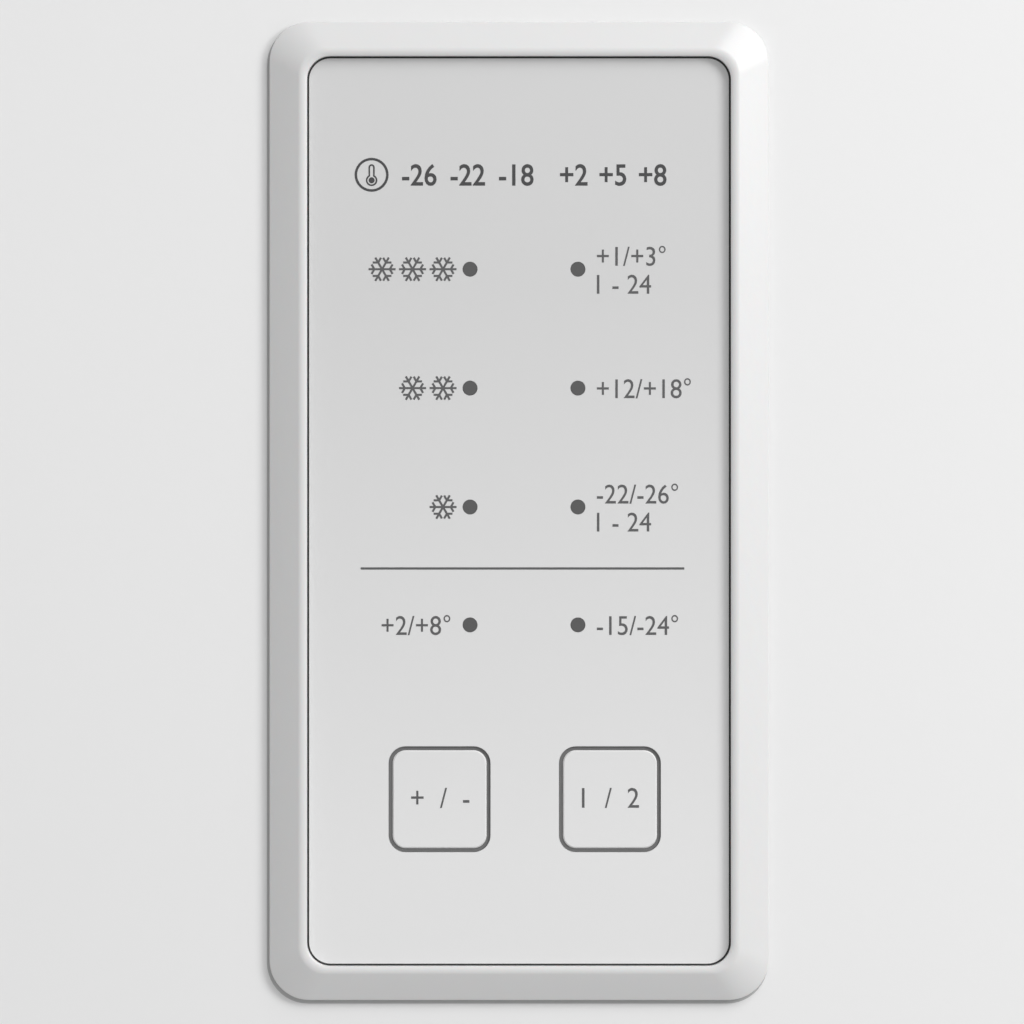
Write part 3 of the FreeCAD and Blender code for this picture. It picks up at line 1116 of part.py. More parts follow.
# ---------------------------------------------------------------- build
def build_cabinet():
    """Every node that stays still."""
    export("cabinet_shell", cabinet_shell())
    export("cabinet_foam", cabinet_foam())
    export("fridge_liner", fridge_liner())
    export("freezer_liner", freezer_liner())
    export("upper_mullion", upper_mullion())
    export("drawer_divider", drawer_divider())
    export("base_plate", base_plate())
    export("kick_grille", kick_grille())
    export("back_panel", back_panel())
    export("machine_cover", machine_cover())
    export("cable_gland", cable_gland())
    export("compressor", compressor())
    export("compressor_grommets", *compressor_grommets())
    export("condenser_coil", condenser_coil())
    export("fan_bracket", fan_bracket())
    export("duct_cover", duct_cover())
    export("lamp_lens", lamp_lens())
    export("evaporator", evaporator())
    export("shelf_frames", *[shelf_frame(z) for z in SHELF_Z])
    export("shelf_glasses", *[shelf_glass(z) for z in SHELF_Z])
    export("top_hinge", top_hinge())
    export("hinge_cover", hinge_cover())
    export("lower_hinge", lower_hinge())
    export("lamp_switch_housing", lamp_switch_housing())


def build_small_movers():
    """Feet, rollers, fan and the lamp switch's plunger."""
    export("left_foot", levelling_foot(-FOOT_X))
    export("right_foot", levelling_foot(FOOT_X))
    export("right_roller", rear_roller())
    export("left_roller", mirrored(rear_roller()))
    export("cooling_fan", cooling_fan())
    export("lamp_switch_plunger", lamp_switch_plunger())


def build_door():
    """The hinged door and its control panel."""
    export("door_skin", door_skin())
    export("door_foam", door_foam())
    export("door_liner", door_liner())
    export("door_top_cap", door_cap(DOOR_TOP, -1))
    export("door_bottom_cap", door_cap(DOOR_LOW, 1))
    export("door_gasket", gasket(DOOR_LOW, DOOR_TOP))
    x, middle = DOOR_HANDLE_IN - HALF_W, DOOR_LOW + DOOR_HANDLE_UP + DOOR_HANDLE_LEN / 2
    export("door_handle", bow_handle(DOOR_HANDLE_LEN, lambda a, b: V(x, FACE_Y - b, middle + a), X_AXIS))
    export("door_bins", *[door_bin(z) for z in DOOR_BIN_Z])
    export("panel_housing", panel_housing())
    export("panel_bezel", panel_bezel())
    export("panel_cover", panel_cover())
    export("light_guide", light_guide())
    export("panel_board", *panel_board())
    for name, x in KEY_X.items():
        export(name, panel_key(x))


def build_drawers():
    """Both drawers with their fronts, bins and rails."""
    fixed_rails = []
    for name, drawer in DRAWERS.items():
        z0, z1 = drawer["front"]
        fixed, middle, inner = rail_members(drawer)
        fixed_rails += [fixed, mirrored(fixed)]
        export(name + "_middle_rails", middle, mirrored(middle))
        export(name + "_inner_rails", inner, mirrored(inner))
        export(name + "_front_skin", drawer_skin(z0, z1))
        export(name + "_front_inner", inner_panel_block(z0 + SKIN, z1 - SKIN), core_block(z0 + SKIN, z1 - SKIN))
        export(name + "_gasket", gasket(z0, z1))
        export(name + "_bin", drawer_bin(drawer["bin"], drawer["bin_back"]))
        z = z1 - DRAWER_HANDLE_DROP
        export(name + "_handle", bow_handle(DRAWER_HANDLE_LEN, lambda a, b: V(a, FACE_Y - b, z), Z_AXIS))
    export("fixed_rails", *fixed_rails)


os.makedirs("parts", exist_ok=True)
build_cabinet()
build_small_movers()
build_door()
build_drawers()
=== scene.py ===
import json
import logging
import math
from dataclasses import astuple, dataclass, field, replace
from enum import Enum

import bmesh
import bpy
import numpy as np
from bpy.types import Material, Node, NodeOutputs, NodeSocket, NodeTree, Object, World
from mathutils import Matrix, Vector


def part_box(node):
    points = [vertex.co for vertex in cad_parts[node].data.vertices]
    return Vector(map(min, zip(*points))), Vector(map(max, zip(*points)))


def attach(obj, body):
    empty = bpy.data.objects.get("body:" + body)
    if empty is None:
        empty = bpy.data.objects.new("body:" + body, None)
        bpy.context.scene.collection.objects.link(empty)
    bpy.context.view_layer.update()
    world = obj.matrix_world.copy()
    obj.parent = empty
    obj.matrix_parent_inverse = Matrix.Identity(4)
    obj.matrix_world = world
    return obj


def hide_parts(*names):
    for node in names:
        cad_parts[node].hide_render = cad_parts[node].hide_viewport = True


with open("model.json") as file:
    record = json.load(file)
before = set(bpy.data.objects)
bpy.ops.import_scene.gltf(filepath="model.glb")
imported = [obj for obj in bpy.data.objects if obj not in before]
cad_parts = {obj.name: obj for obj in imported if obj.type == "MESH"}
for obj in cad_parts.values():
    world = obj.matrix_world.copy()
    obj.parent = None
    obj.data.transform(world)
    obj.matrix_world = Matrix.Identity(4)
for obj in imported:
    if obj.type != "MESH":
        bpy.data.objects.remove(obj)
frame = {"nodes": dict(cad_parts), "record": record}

# The looks of a stand refrigerator: white painted fronts over a painted cabinet, with an electronic
# control panel on the hinged door. Sizes are in metres, and small sizes in millimetres times MM.

MM = 0.001
Colour = tuple[float, float, float]
Shape = tuple[np.ndarray, list]  # points, n by 3, and the corner numbers of each face
log = logging.getLogger("refrigerator")


# ---- named options
class Body(str, Enum):
    """The moving bodies that new pieces ride on."""

    CABINET = "cabinet"
    DOOR = "fridge_door"
    TEMP_KEY = "temp_key"
    ZONE_KEY = "zone_key"
    UPPER = "upper_drawer"
    LOWER = "lower_drawer"


class Slot(str, Enum):
    """The record's material slots."""

    WHITE_PAINT = "white_paint"
    GALVANISED = "galvanised_steel"
    ZINC = "zinc_steel"
    FOAM = "insulation_foam"
    LINER = "liner_white"
    WHITE_PLASTIC = "white_plastic"
    WHITE_GLOSS = "white_gloss"
    BEZEL = "bezel_white"
    FILM = "panel_film"
    SMOKED = "smoked_lens"
    FROSTED = "frosted_lens"
    BLACK_PLASTIC = "black_plastic"
    BOARD = "circuit_board"
    ENAMEL = "black_enamel"
    BLACK_RUBBER = "black_rubber"
    SEAL = "gasket_rubber"
    ALUMINIUM = "bare_aluminium"
    GLASS = "clear_glass"
    CLEAR = "clear_plastic"


class Trim(str, Enum):
    """Finishes of small pieces that look different from their slot."""

    INK = "ink"
    HEADER_INK = "header_ink"
    # Painted shade: a near-black strip that darkens the gap round the cover.
    GAP_SHADE = "painted_gap_shade"
    # Painted shadow: a grey strip that shows below and left of the bezel as its shadow on the door.
    FOOT_SHADOW = "painted_foot_shadow"
    KEY_SKIRT = "key_skirt"
    SCREW_STEEL = "screw_steel"


class Relief(Enum):
    """Fine relief of a surface, each a shader group of the same sockets."""

    RIPPLE = "coat_ripple"
    GRAIN = "mould_grain"
    LINES = "drawn_lines"
    SPANGLE = "zinc_spangle"


class Tint(Enum):
    """Changes of a colour over a surface, each a shader group that takes and gives a colour."""

    DRIFT = "tone_drift"
    # Painted shade that darkens a colour with height.
    PAINTED_SHADE = "painted_height_shade"
    DUST = "settled_dust"


# ---- helpers
def grey(tone: float) -> Colour:
    """The grey of a tone."""
    return tone, tone, tone


def show(made: Object) -> None:
    """Puts an object into the scene."""
    bpy.context.scene.collection.objects.link(made)


# ---- shader groups
MIX_A, MIX_B, MIX_RESULT = 6, 7, 2  # sockets of a Mix node for colours
PALE = (0.8, 0.8, 0.8, 1.0)
DUST_GREY = (0.42, 0.41, 0.39, 1.0)


@dataclass
class Wiring:
    """Adds nodes to a shader tree and joins them.

    Attributes:
        tree: The node tree of a material, a world or a group.
    """

    tree: NodeTree

    @classmethod
    def blank(cls, holder: Material | World) -> "Wiring":
        """The wiring of a material or a world, emptied.

        Args:
            holder: The material or world.

        Returns:
            Its wiring.
        """
        holder.use_nodes = True
        holder.node_tree.nodes.clear()
        return cls(holder.node_tree)

    def feed(self, node: Node, inputs: dict) -> None:
        """Sets or links a node's inputs.

        Args:
            node: The node.
            inputs: Socket name or number to a value, or to the output socket that feeds it.
        """
        for key, value in inputs.items():
            if isinstance(value, NodeSocket):
                self.tree.links.new(value, node.inputs[key])
            else:
                node.inputs[key].default_value = value

    def add(self, kind: str, inputs: dict | None = None, **settings: object) -> Node:
        """Adds a node.

        Args:
            kind: The node's type.
            inputs: What goes into it, as in feed.
            **settings: Properties of the node.

        Returns:
            The new node.
        """
        made = self.tree.nodes.new(kind)
        for key, value in settings.items():
            setattr(made, key, value)
        self.feed(made, inputs or {})
        return made

    def maths(self, operation: str, a: object, b: object) -> NodeSocket:
        """The result of a Math node on two values or sockets."""
        return self.add("ShaderNodeMath", {0: a, 1: b}, operation=operation).outputs[0]

    def spread(self, value: object, low: object, high: object) -> NodeSocket:
        """A 0 to 1 value spread to the range from low to high."""
        return self.add("ShaderNodeMapRange", {"Value": value, "To Min": low, "To Max": high}).outputs[0]

    def ramp(self, value: object, low: object, high: object, smooth: bool = True) -> NodeSocket:
        """How far a value is on its way from low to high, as 0 to 1."""
        return self.add("ShaderNodeMapRange", {"Value": value, "From Min": low, "From Max": high},
                        interpolation_type="SMOOTHSTEP" if smooth else "LINEAR").outputs[0]

    def noise(self, place: object, scale: object, detail: float, **more: float) -> NodeSocket:
        """Smooth noise at a place, with octaves by its detail."""
        settings = {"Vector": place, "Scale": scale, "Detail": detail, **more}
        return self.add("ShaderNodeTexNoise", settings).outputs["Fac"]

    def scaled(self, colour: object, share: object) -> NodeSocket:
        """A colour times a share."""
        return self.add("ShaderNodeVectorMath", {0: colour, "Scale": share}, operation="SCALE").outputs[0]


Group = tuple[Wiring, NodeOutputs, Node]


@dataclass
class Effects:
    """Shader groups that several finishes share, each built once.

    Attributes:
        groups: The groups built so far.
    """

    groups: dict[Relief | Tint, NodeTree] = field(default_factory=dict)

    def start(self, kind: Relief | Tint, inputs: dict[str, tuple[str, object]],
              outputs: dict[str, str]) -> Group:
        """Makes an empty group with named sockets.

        Args:
            kind: Which group it is.
            inputs: Socket name to its type and default value.
            outputs: Socket name to its type.

        Returns:
            The group's wiring, the sockets that bring its inputs, and its output node.
        """
        tree = bpy.data.node_groups.new(kind.value, "ShaderNodeTree")
        for label, (data, value) in inputs.items():
            socket = tree.interface.new_socket(label, in_out="INPUT", socket_type="NodeSocket" + data)
            if value is not None:
                socket.default_value = value
        for label, data in outputs.items():
            tree.interface.new_socket(label, in_out="OUTPUT", socket_type="NodeSocket" + data)
        self.groups[kind] = tree
        return Wiring(tree), tree.nodes.new("NodeGroupInput").outputs, tree.nodes.new("NodeGroupOutput")

    def start_relief(self, relief: Relief) -> Group:
        """An empty relief group: Vector and Scale in, Height and Mask out."""
        return self.start(relief, {"Vector": ("Vector", None), "Scale": ("Float", 500.0)},
                          {"Height": "Float", "Mask": "Float"})

    def start_tint(self, tint: Tint, **numbers: float) -> Group:
        """An empty tint group.

        Args:
            tint: Which group it is.
            **numbers: Its inputs besides Vector and Colour, with their default values.

        Returns:
            The same as start gives, with Colour and Mask out.
        """
        inputs = {"Vector": ("Vector", None), "Colour": ("Color", PALE)}
        inputs |= {label: ("Float", value) for label, value in numbers.items()}
        return self.start(tint, inputs, {"Colour": "Color", "Mask": "Float"})

    def noise_relief(self, relief: Relief, detail: float, stretch: tuple[float, float, float]) -> None:
        """A relief of smooth noise, stretched along the axes, whose mask is the same noise.

        Args:
            relief: Which relief it is.
            detail: Octaves of the noise.
            stretch: Share of the scale along each axis.
        """
        wiring, source, sink = self.start_relief(relief)
        place = wiring.add("ShaderNodeVectorMath", {0: source["Vector"], 1: stretch}, operation="MULTIPLY")
        noise = wiring.noise(place.outputs[0], source["Scale"], detail, Roughness=0.55)
        wiring.feed(sink, {"Height": noise, "Mask": noise})

    def spangle(self) -> None:
        """Zinc crystals: cells of random brightness, each a faint hollow."""
        wiring, source, sink = self.start_relief(Relief.SPANGLE)
        cells = wiring.add("ShaderNodeTexVoronoi", {"Vector": source["Vector"],
                                                    "Scale": source["Scale"]}).outputs
        bright = wiring.add("ShaderNodeSeparateColor", {0: cells["Color"]}).outputs[0]
        wiring.feed(sink, {"Height": cells["Distance"], "Mask": bright})

    def tone_drift(self) -> None:
        """Slow drift of a colour: the colour times one plus or minus a share of large smooth noise."""
        wiring, source, sink = self.start_tint(Tint.DRIFT, Amount=0.03, Scale=6.0)
        noise = wiring.noise(source["Vector"], source["Scale"], 3.0)
        share = wiring.spread(noise, wiring.maths("SUBTRACT", 1.0, source["Amount"]),
                              wiring.maths("ADD", 1.0, source["Amount"]))
        wiring.feed(sink, {"Colour": wiring.scaled(source["Colour"], share), "Mask": noise})

    def painted_height_shade(self) -> None:
        """Painted shade: a colour that loses a share of its brightness evenly from a low to a high Z, in
        place of uneven light and sheen.
        """
        wiring, source, sink = self.start_tint(Tint.PAINTED_SHADE, Low=0.0, High=1.0, Loss=0.1)
        height = wiring.add("ShaderNodeSeparateXYZ", {0: source["Vector"]}).outputs["Z"]
        rise = wiring.ramp(height, source["Low"], source["High"], smooth=False)
        share = wiring.maths("SUBTRACT", 1.0, wiring.maths("MULTIPLY", rise, source["Loss"]))
        wiring.feed(sink, {"Colour": wiring.scaled(source["Colour"], share), "Mask": rise})

    def settled_dust(self) -> None:
        """House dust on what faces up: a grey film, patchy, strongest where the normal points up."""
        wiring, source, sink = self.start_tint(Tint.DUST, Amount=0.2)
        normal = wiring.add("ShaderNodeNewGeometry").outputs["Normal"]
        height = wiring.add("ShaderNodeSeparateXYZ", {0: normal}).outputs["Z"]
        upward = wiring.ramp(height, 0.5, 1.0)
        patches = wiring.noise(source["Vector"], 22.0, 6.0)
        amount = wiring.maths("MULTIPLY", wiring.maths("MULTIPLY", upward, patches), source["Amount"])
        mixed = wiring.add("ShaderNodeMix", {0: amount, MIX_A: source["Colour"], MIX_B: DUST_GREY},
                           data_type="RGBA").outputs[MIX_RESULT]
        wiring.feed(sink, {"Colour": mixed, "Mask": amount})

    def build(self) -> None:
        """Builds every group."""
        self.noise_relief(Relief.RIPPLE, 1.0, (1.0, 1.0, 1.0))
        self.noise_relief(Relief.GRAIN, 4.0, (1.0, 1.0, 1.0))
        self.noise_relief(Relief.LINES, 3.0, (1.0, 0.04, 1.0))
        self.spangle()
        self.tone_drift()
        self.painted_height_shade()
        self.settled_dust()


# ---- finishes
@dataclass(frozen=True)
class Finish:
    """One finish: a shader whose colour, roughness and height change over the surface.

    Attributes:
        colour: Base colour, linear.
        roughness: Middle roughness.
        relief: Kind of fine relief.
        feature: Size of the relief's features in millimetres.
        depth: Height of the relief in millimetres.
        drift: Share by which the colour drifts.
        spread: How far the roughness moves with the relief.
        dust: Amount of dust on what faces up.
        metallic: Metallic value.
        coat: Weight of a clear coat.
        coat_roughness: Roughness of the clear coat.
        transmission: Transmission weight.
        ior: Index of refraction.
        scatter: Subsurface weight.
        scatter_reach: How far the light travels below the surface, in millimetres.
        glow: Strength of its own light, in its own colour.
        fade: Low and high Z of a painted shade, darker towards the top, and the share of brightness that is
            lost from low to high.
    """

    colour: Colour
    roughness: float
    relief: Relief
    feature: float
    depth: float
    drift: float = 0.02
    spread: float = 0.06
    dust: float = 0.0
    metallic: float = 0.0
    coat: float = 0.0
    coat_roughness: float = 0.1
    transmission: float = 0.0
    ior: float = 1.5
    scatter: float = 0.0
    scatter_reach: float = 2.0
    glow: float = 0.0
    fade: tuple[float, float, float] | None = None

    def material(self, name: str, effects: Effects) -> Material:
        """Builds the material.

        Args:
            name: The material's name.
            effects: The shared shader groups.

        Returns:
            The material.
        """
        made = bpy.data.materials.new(name)
        wiring = Wiring.blank(made)
        place = wiring.add("ShaderNodeTexCoord").outputs["Object"]

        def group(kind: Relief | Tint, **inputs: object) -> NodeOutputs:
            """Places a shared group in this material and gives its outputs."""
            inputs["Vector"] = place
            return wiring.add("ShaderNodeGroup", inputs, node_tree=effects.groups[kind]).outputs

        relief = group(self.relief, Scale=1.0 / (self.feature * MM))
        colour = group(Tint.DRIFT, Colour=(*self.colour, 1.0), Amount=self.drift)["Colour"]
        # Painted shade: the colour darkens with height.
        if self.fade:
            low, high, loss = self.fade
            colour = group(Tint.PAINTED_SHADE, Colour=colour, Low=low, High=high, Loss=loss)["Colour"]
        rough = wiring.spread(relief["Mask"], self.roughness - self.spread, self.roughness + self.spread)
        if self.dust:
            dust = group(Tint.DUST, Colour=colour, Amount=self.dust)
            colour, rough = dust["Colour"], wiring.maths("ADD", rough, dust["Mask"])
        bump = wiring.add("ShaderNodeBump", {"Strength": 1.0, "Distance": self.depth * MM,
                                             "Height": relief["Height"]})
        shader = wiring.add("ShaderNodeBsdfPrincipled", {
            "Base Color": colour, "Roughness": rough, "Normal": bump.outputs[0], "Metallic": self.metallic,
            "IOR": self.ior, "Coat Weight": self.coat, "Coat Roughness": self.coat_roughness,
            "Transmission Weight": self.transmission, "Subsurface Weight": self.scatter,
            "Subsurface Scale": self.scatter_reach * MM, "Emission Color": (*self.colour, 1.0),
            "Emission Strength": self.glow})
        wiring.add("ShaderNodeOutputMaterial", {"Surface": shader.outputs[0]})
        return made


# Each row gives colour, roughness, relief, feature, depth, and mostly drift and spread, and names the rest.
FINISHES: dict[Slot | Trim, Finish] = {
    Slot.WHITE_PAINT: Finish(grey(0.845), 0.32, Relief.RIPPLE, 2.2, 0.010, 0.012, 0.03,
                             dust=0.10, coat=0.15, coat_roughness=0.22),
    Slot.BEZEL: Finish(grey(0.70), 0.34, Relief.GRAIN, 0.5, 0.005, 0.012, 0.04, scatter=0.05),
    # The film's fade is painted shade, darker towards its top.
    Slot.FILM: Finish(grey(0.79), 0.36, Relief.RIPPLE, 1.4, 0.003, 0.010, 0.03, fade=(1.385, 1.500, 0.17)),
    Slot.SMOKED: Finish(grey(0.10), 0.30, Relief.GRAIN, 0.3, 0.002, 0.05, 0.05),
    Slot.FROSTED: Finish((0.90, 0.90, 0.87), 0.45, Relief.GRAIN, 0.8, 0.010, 0.01, scatter=0.3, glow=5.0),
    Slot.WHITE_PLASTIC: Finish(grey(0.80), 0.45, Relief.GRAIN, 0.5, 0.012, dust=0.12),
    Slot.WHITE_GLOSS: Finish(grey(0.82), 0.22, Relief.RIPPLE, 3.0, 0.006, 0.01, 0.03),
    Slot.LINER: Finish((0.86, 0.87, 0.88), 0.26, Relief.RIPPLE, 14.0, 0.016, 0.015, 0.02),
    Slot.SEAL: Finish((0.62, 0.63, 0.64), 0.60, Relief.GRAIN, 0.7, 0.010, 0.03),
    Slot.GLASS: Finish((0.86, 0.95, 0.92), 0.05, Relief.RIPPLE, 30.0, 0.004, 0.01, 0.01,
                       transmission=0.9, dust=0.04),
    Slot.CLEAR: Finish((0.90, 0.94, 0.96), 0.10, Relief.GRAIN, 1.0, 0.004, 0.01, 0.03,
                       transmission=0.82, ior=1.49),
    Slot.ZINC: Finish((0.62, 0.63, 0.64), 0.34, Relief.LINES, 0.5, 0.006, 0.04, 0.10, metallic=1.0),
    Slot.GALVANISED: Finish((0.56, 0.58, 0.59), 0.42, Relief.SPANGLE, 14.0, 0.004, 0.05, 0.10,
                            metallic=0.85, dust=0.25),
    Slot.ALUMINIUM: Finish((0.78, 0.79, 0.80), 0.36, Relief.LINES, 0.5, 0.005, 0.03, 0.08, metallic=1.0),
    Slot.ENAMEL: Finish((0.018, 0.018, 0.020), 0.28, Relief.RIPPLE, 2.5, 0.020, 0.05, 0.05,
                        dust=0.45, coat=0.3),
    Slot.BLACK_PLASTIC: Finish((0.030, 0.030, 0.033), 0.50, Relief.GRAIN, 0.6, 0.015, 0.06, dust=0.3),
    Slot.BLACK_RUBBER: Finish(grey(0.022), 0.75, Relief.GRAIN, 0.8, 0.020, 0.06, dust=0.4),
    Slot.BOARD: Finish((0.02, 0.13, 0.05), 0.30, Relief.LINES, 1.2, 0.020, 0.10, 0.08, coat=0.4),
    Slot.FOAM: Finish((0.80, 0.74, 0.52), 0.90, Relief.GRAIN, 1.5, 0.30, 0.05),
    Trim.INK: Finish((0.105, 0.105, 0.107), 0.55, Relief.GRAIN, 0.15, 0.002, 0.06),
    Trim.HEADER_INK: Finish((0.058, 0.058, 0.060), 0.55, Relief.GRAIN, 0.15, 0.002, 0.06),
    # Painted shade in the gap round the cover.
    Trim.GAP_SHADE: Finish(grey(0.045), 0.70, Relief.GRAIN, 0.3, 0.004, 0.04),
    # Painted shadow under the bezel's lower and left edges.
    Trim.FOOT_SHADOW: Finish(grey(0.50), 0.70, Relief.GRAIN, 0.3, 0.004, 0.04),
    Trim.KEY_SKIRT: Finish(grey(0.155), 0.70, Relief.GRAIN, 0.3, 0.004, 0.04),
    Trim.SCREW_STEEL: Finish((0.55, 0.55, 0.56), 0.30, Relief.LINES, 0.4, 0.004, 0.05, 0.1, metallic=1.0),
}


@dataclass
class Workshop:
    """Holds the materials, and turns shapes into finished pieces.

    Attributes:
        effects: The shared shader groups.
        materials: The materials made so far.
    """

    effects: Effects
    materials: dict[Slot | Trim, Material] = field(default_factory=dict)

    def material(self, kind: Slot | Trim) -> Material:
        """The material of a slot or trim, made on first use."""
        if kind not in self.materials:
            self.materials[kind] = FINISHES[kind].material(kind.value, self.effects)
        return self.materials[kind]

    def dress_nodes(self) -> None:
        """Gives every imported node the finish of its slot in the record."""
        for part in frame["record"]["subparts"]:
            slot = Slot(part["material_slot"])
            mesh = frame["nodes"][part["node"]].data
            mesh.materials.clear()
            mesh.materials.append(self.material(slot))
            log.info("node %s: %s", part["node"], slot.value)

    def piece(self, name: str, shape: Shape, body: Body, slot: Slot, trim: Trim | None = None,
              crease: float = 35.0, weld: float = 0.0) -> Object:
        """Makes a piece with its faces outwards, and lets it ride on a body.

        Args:
            name: The piece's name.
            shape: Its points and faces.
            body: The body that it moves with.
            slot: The record's slot that it takes its finish from.
            trim: Its own finish, where it isn't the slot's.
            crease: Faces that meet at more than this angle, in degrees, keep a sharp edge.
            weld: Points nearer together than this are merged.

        Returns:
            The piece.
        """
        points, faces = shape
        mesh = bpy.data.meshes.new(name)
        mesh.from_pydata(points.tolist(), [], faces)
        shell = bmesh.new()
        shell.from_mesh(mesh)
        if weld:
            bmesh.ops.remove_doubles(shell, verts=shell.verts, dist=weld)
        bmesh.ops.recalc_face_normals(shell, faces=shell.faces)
        shell.to_mesh(mesh)
        shell.free()
        mesh.shade_smooth()
        mesh.set_sharp_from_angle(angle=math.radians(crease))
        mesh.materials.append(self.material(trim or slot))
        made = bpy.data.objects.new(name, mesh)
        show(made)
        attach(made, body.value)
        log.info("piece %s: %d faces on %s", name, len(faces), body.value)
        return made


# ---- surfaces
def grid_faces(rows: int, columns: int, wrap_rows: bool = False, wrap_columns: bool = False) -> list:
    """Four-cornered faces of a grid of points numbered row by row.

    Args:
        rows: Rows of points.
        columns: Points in a row.
        wrap_rows: Whether the last row joins the first.
        wrap_columns: Whether each row closes on itself.

    Returns:
        Corner numbers, four for each face.
    """
    r, c = np.meshgrid(np.arange(rows if wrap_rows else rows - 1),
                       np.arange(columns if wrap_columns else columns - 1), indexing="ij")
    r, c = r.ravel(), c.ravel()
    down, right = (r + 1) % rows, (c + 1) % columns
    corners = [r * columns + c, r * columns + right, down * columns + right, down * columns + c]
    return np.stack(corners, axis=1).tolist()


def rows_at(outlines: list[np.ndarray], depths: list[float]) -> np.ndarray:
    """Outlines in X and Z, each put at its Y, one after the other."""
    return np.concatenate([np.insert(line, 1, y, axis=1) for line, y in zip(outlines, depths)])


def prism(outline: np.ndarray, front: float, back: float) -> Shape:
    """A flat plate whose outline lies in X and Z: the outline at two depths, joined by walls.

    Args:
        outline: Outline points in X and Z, n by 2.
        front: Y of the front face.
        back: Y of the back face.

    Returns:
        Points and faces.
    """
    n = len(outline)
    ends = [list(range(n)), list(range(2 * n - 1, n - 1, -1))]
    return rows_at([outline, outline], [front, back]), grid_faces(2, n, wrap_columns=True) + ends


def tube(outer: np.ndarray, inner: np.ndarray, front: float, back: float) -> Shape:
    """A flat plate between two outlines of as many points each, in X and Z.

    Args:
        outer: Outer outline, n by 2.
        inner: Inner outline, n by 2.
        front: Y of the front face.
        back: Y of the back face.

    Returns:
        Points and faces.
    """
    points = rows_at([inner, outer, outer, inner], [front, front, back, back])
    return points, grid_faces(4, len(outer), True, True)


def gather(shapes: list[Shape]) -> Shape:
    """Puts several shapes into one list of points and one of faces.

    Args:
        shapes: Points and faces of each.

    Returns:
        Points and faces of all.
    """
    points, faces, start = [], [], 0
    for corners, sides in shapes:
        points.append(corners)
        faces += [[start + i for i in side] for side in sides]
        start += len(corners)
    return np.concatenate(points), faces


def arc(centre: np.ndarray, radius: float, start: float, stop: float, steps: int) -> np.ndarray:
    """Points of an arc: the centre plus the radius times the cosine and sine of evenly spaced angles.

    Args:
        centre: Centre of the arc.
        radius: Its radius.
        start: First angle in degrees.
        stop: Last angle in degrees.
        steps: Number of points.

    Returns:
        Points, steps by 2.
    """
    angle = np.radians(np.linspace(start, stop, steps))
    return centre + radius * np.column_stack([np.cos(angle), np.sin(angle)])


def circle(centre: np.ndarray, radius: float, steps: int) -> np.ndarray:
    """Points of a full circle, as of an arc that stops one step short of its start."""
    return arc(centre, radius, 0.0, 360.0 * (steps - 1) / steps, steps)


@dataclass(frozen=True)
class Outline:
    """A rounded rectangle in X and Z.

    Attributes:
        width: Size along X.
        height: Size along Z.
        radius: Corner radius.
        x: Middle in X.
        z: Middle in Z.
    """

    width: float
    height: float
    radius: float
    x: float = 0.0
    z: float = 0.0

    def points(self, per_corner: int = 12) -> np.ndarray:
        """The outline's points: each corner's centre plus the radius times the cosine and sine of its turn.

        Args:
            per_corner: Points in each corner's quarter turn.

        Returns:
            Points in X and Z, 4 per_corner by 2.
        """
        turn = np.linspace(0.0, math.pi / 2, per_corner)
        quarter = np.arange(4)[:, None] * math.pi / 2 + turn[None, :]
        signs = np.array([(1, 1), (-1, 1), (-1, -1), (1, -1)])
        centres = signs * np.array([self.width / 2 - self.radius, self.height / 2 - self.radius])
        spots = centres[:, None, :] + self.radius * np.stack([np.cos(quarter), np.sin(quarter)], axis=2)
        return spots.reshape(-1, 2) + np.array([self.x, self.z])

    def grown(self, by: float) -> "Outline":
        """The outline with its edge moved outwards."""
        return replace(self, width=self.width + 2 * by, height=self.height + 2 * by, radius=self.radius + by)

    def towards(self, other: "Outline", share: float) -> "Outline":
        """The outline that lies a share of the way to another one."""
        return Outline(*(a + (b - a) * share for a, b in zip(astuple(self), astuple(other))))


def closed_ring(outlines: list[Outline], depths: list[float], per_corner: int) -> Shape:
    """A ring with a closed section: row i is outline i at depth i, and the last row joins the first.

    Args:
        outlines: One outline for each corner of the section.
        depths: The Y of each of them.
        per_corner: Points in each outline's corners.

    Returns:
        Points and faces.
    """
    points = rows_at([outline.points(per_corner) for outline in outlines], depths)
    return points, grid_faces(len(outlines), 4 * per_corner, True, True)


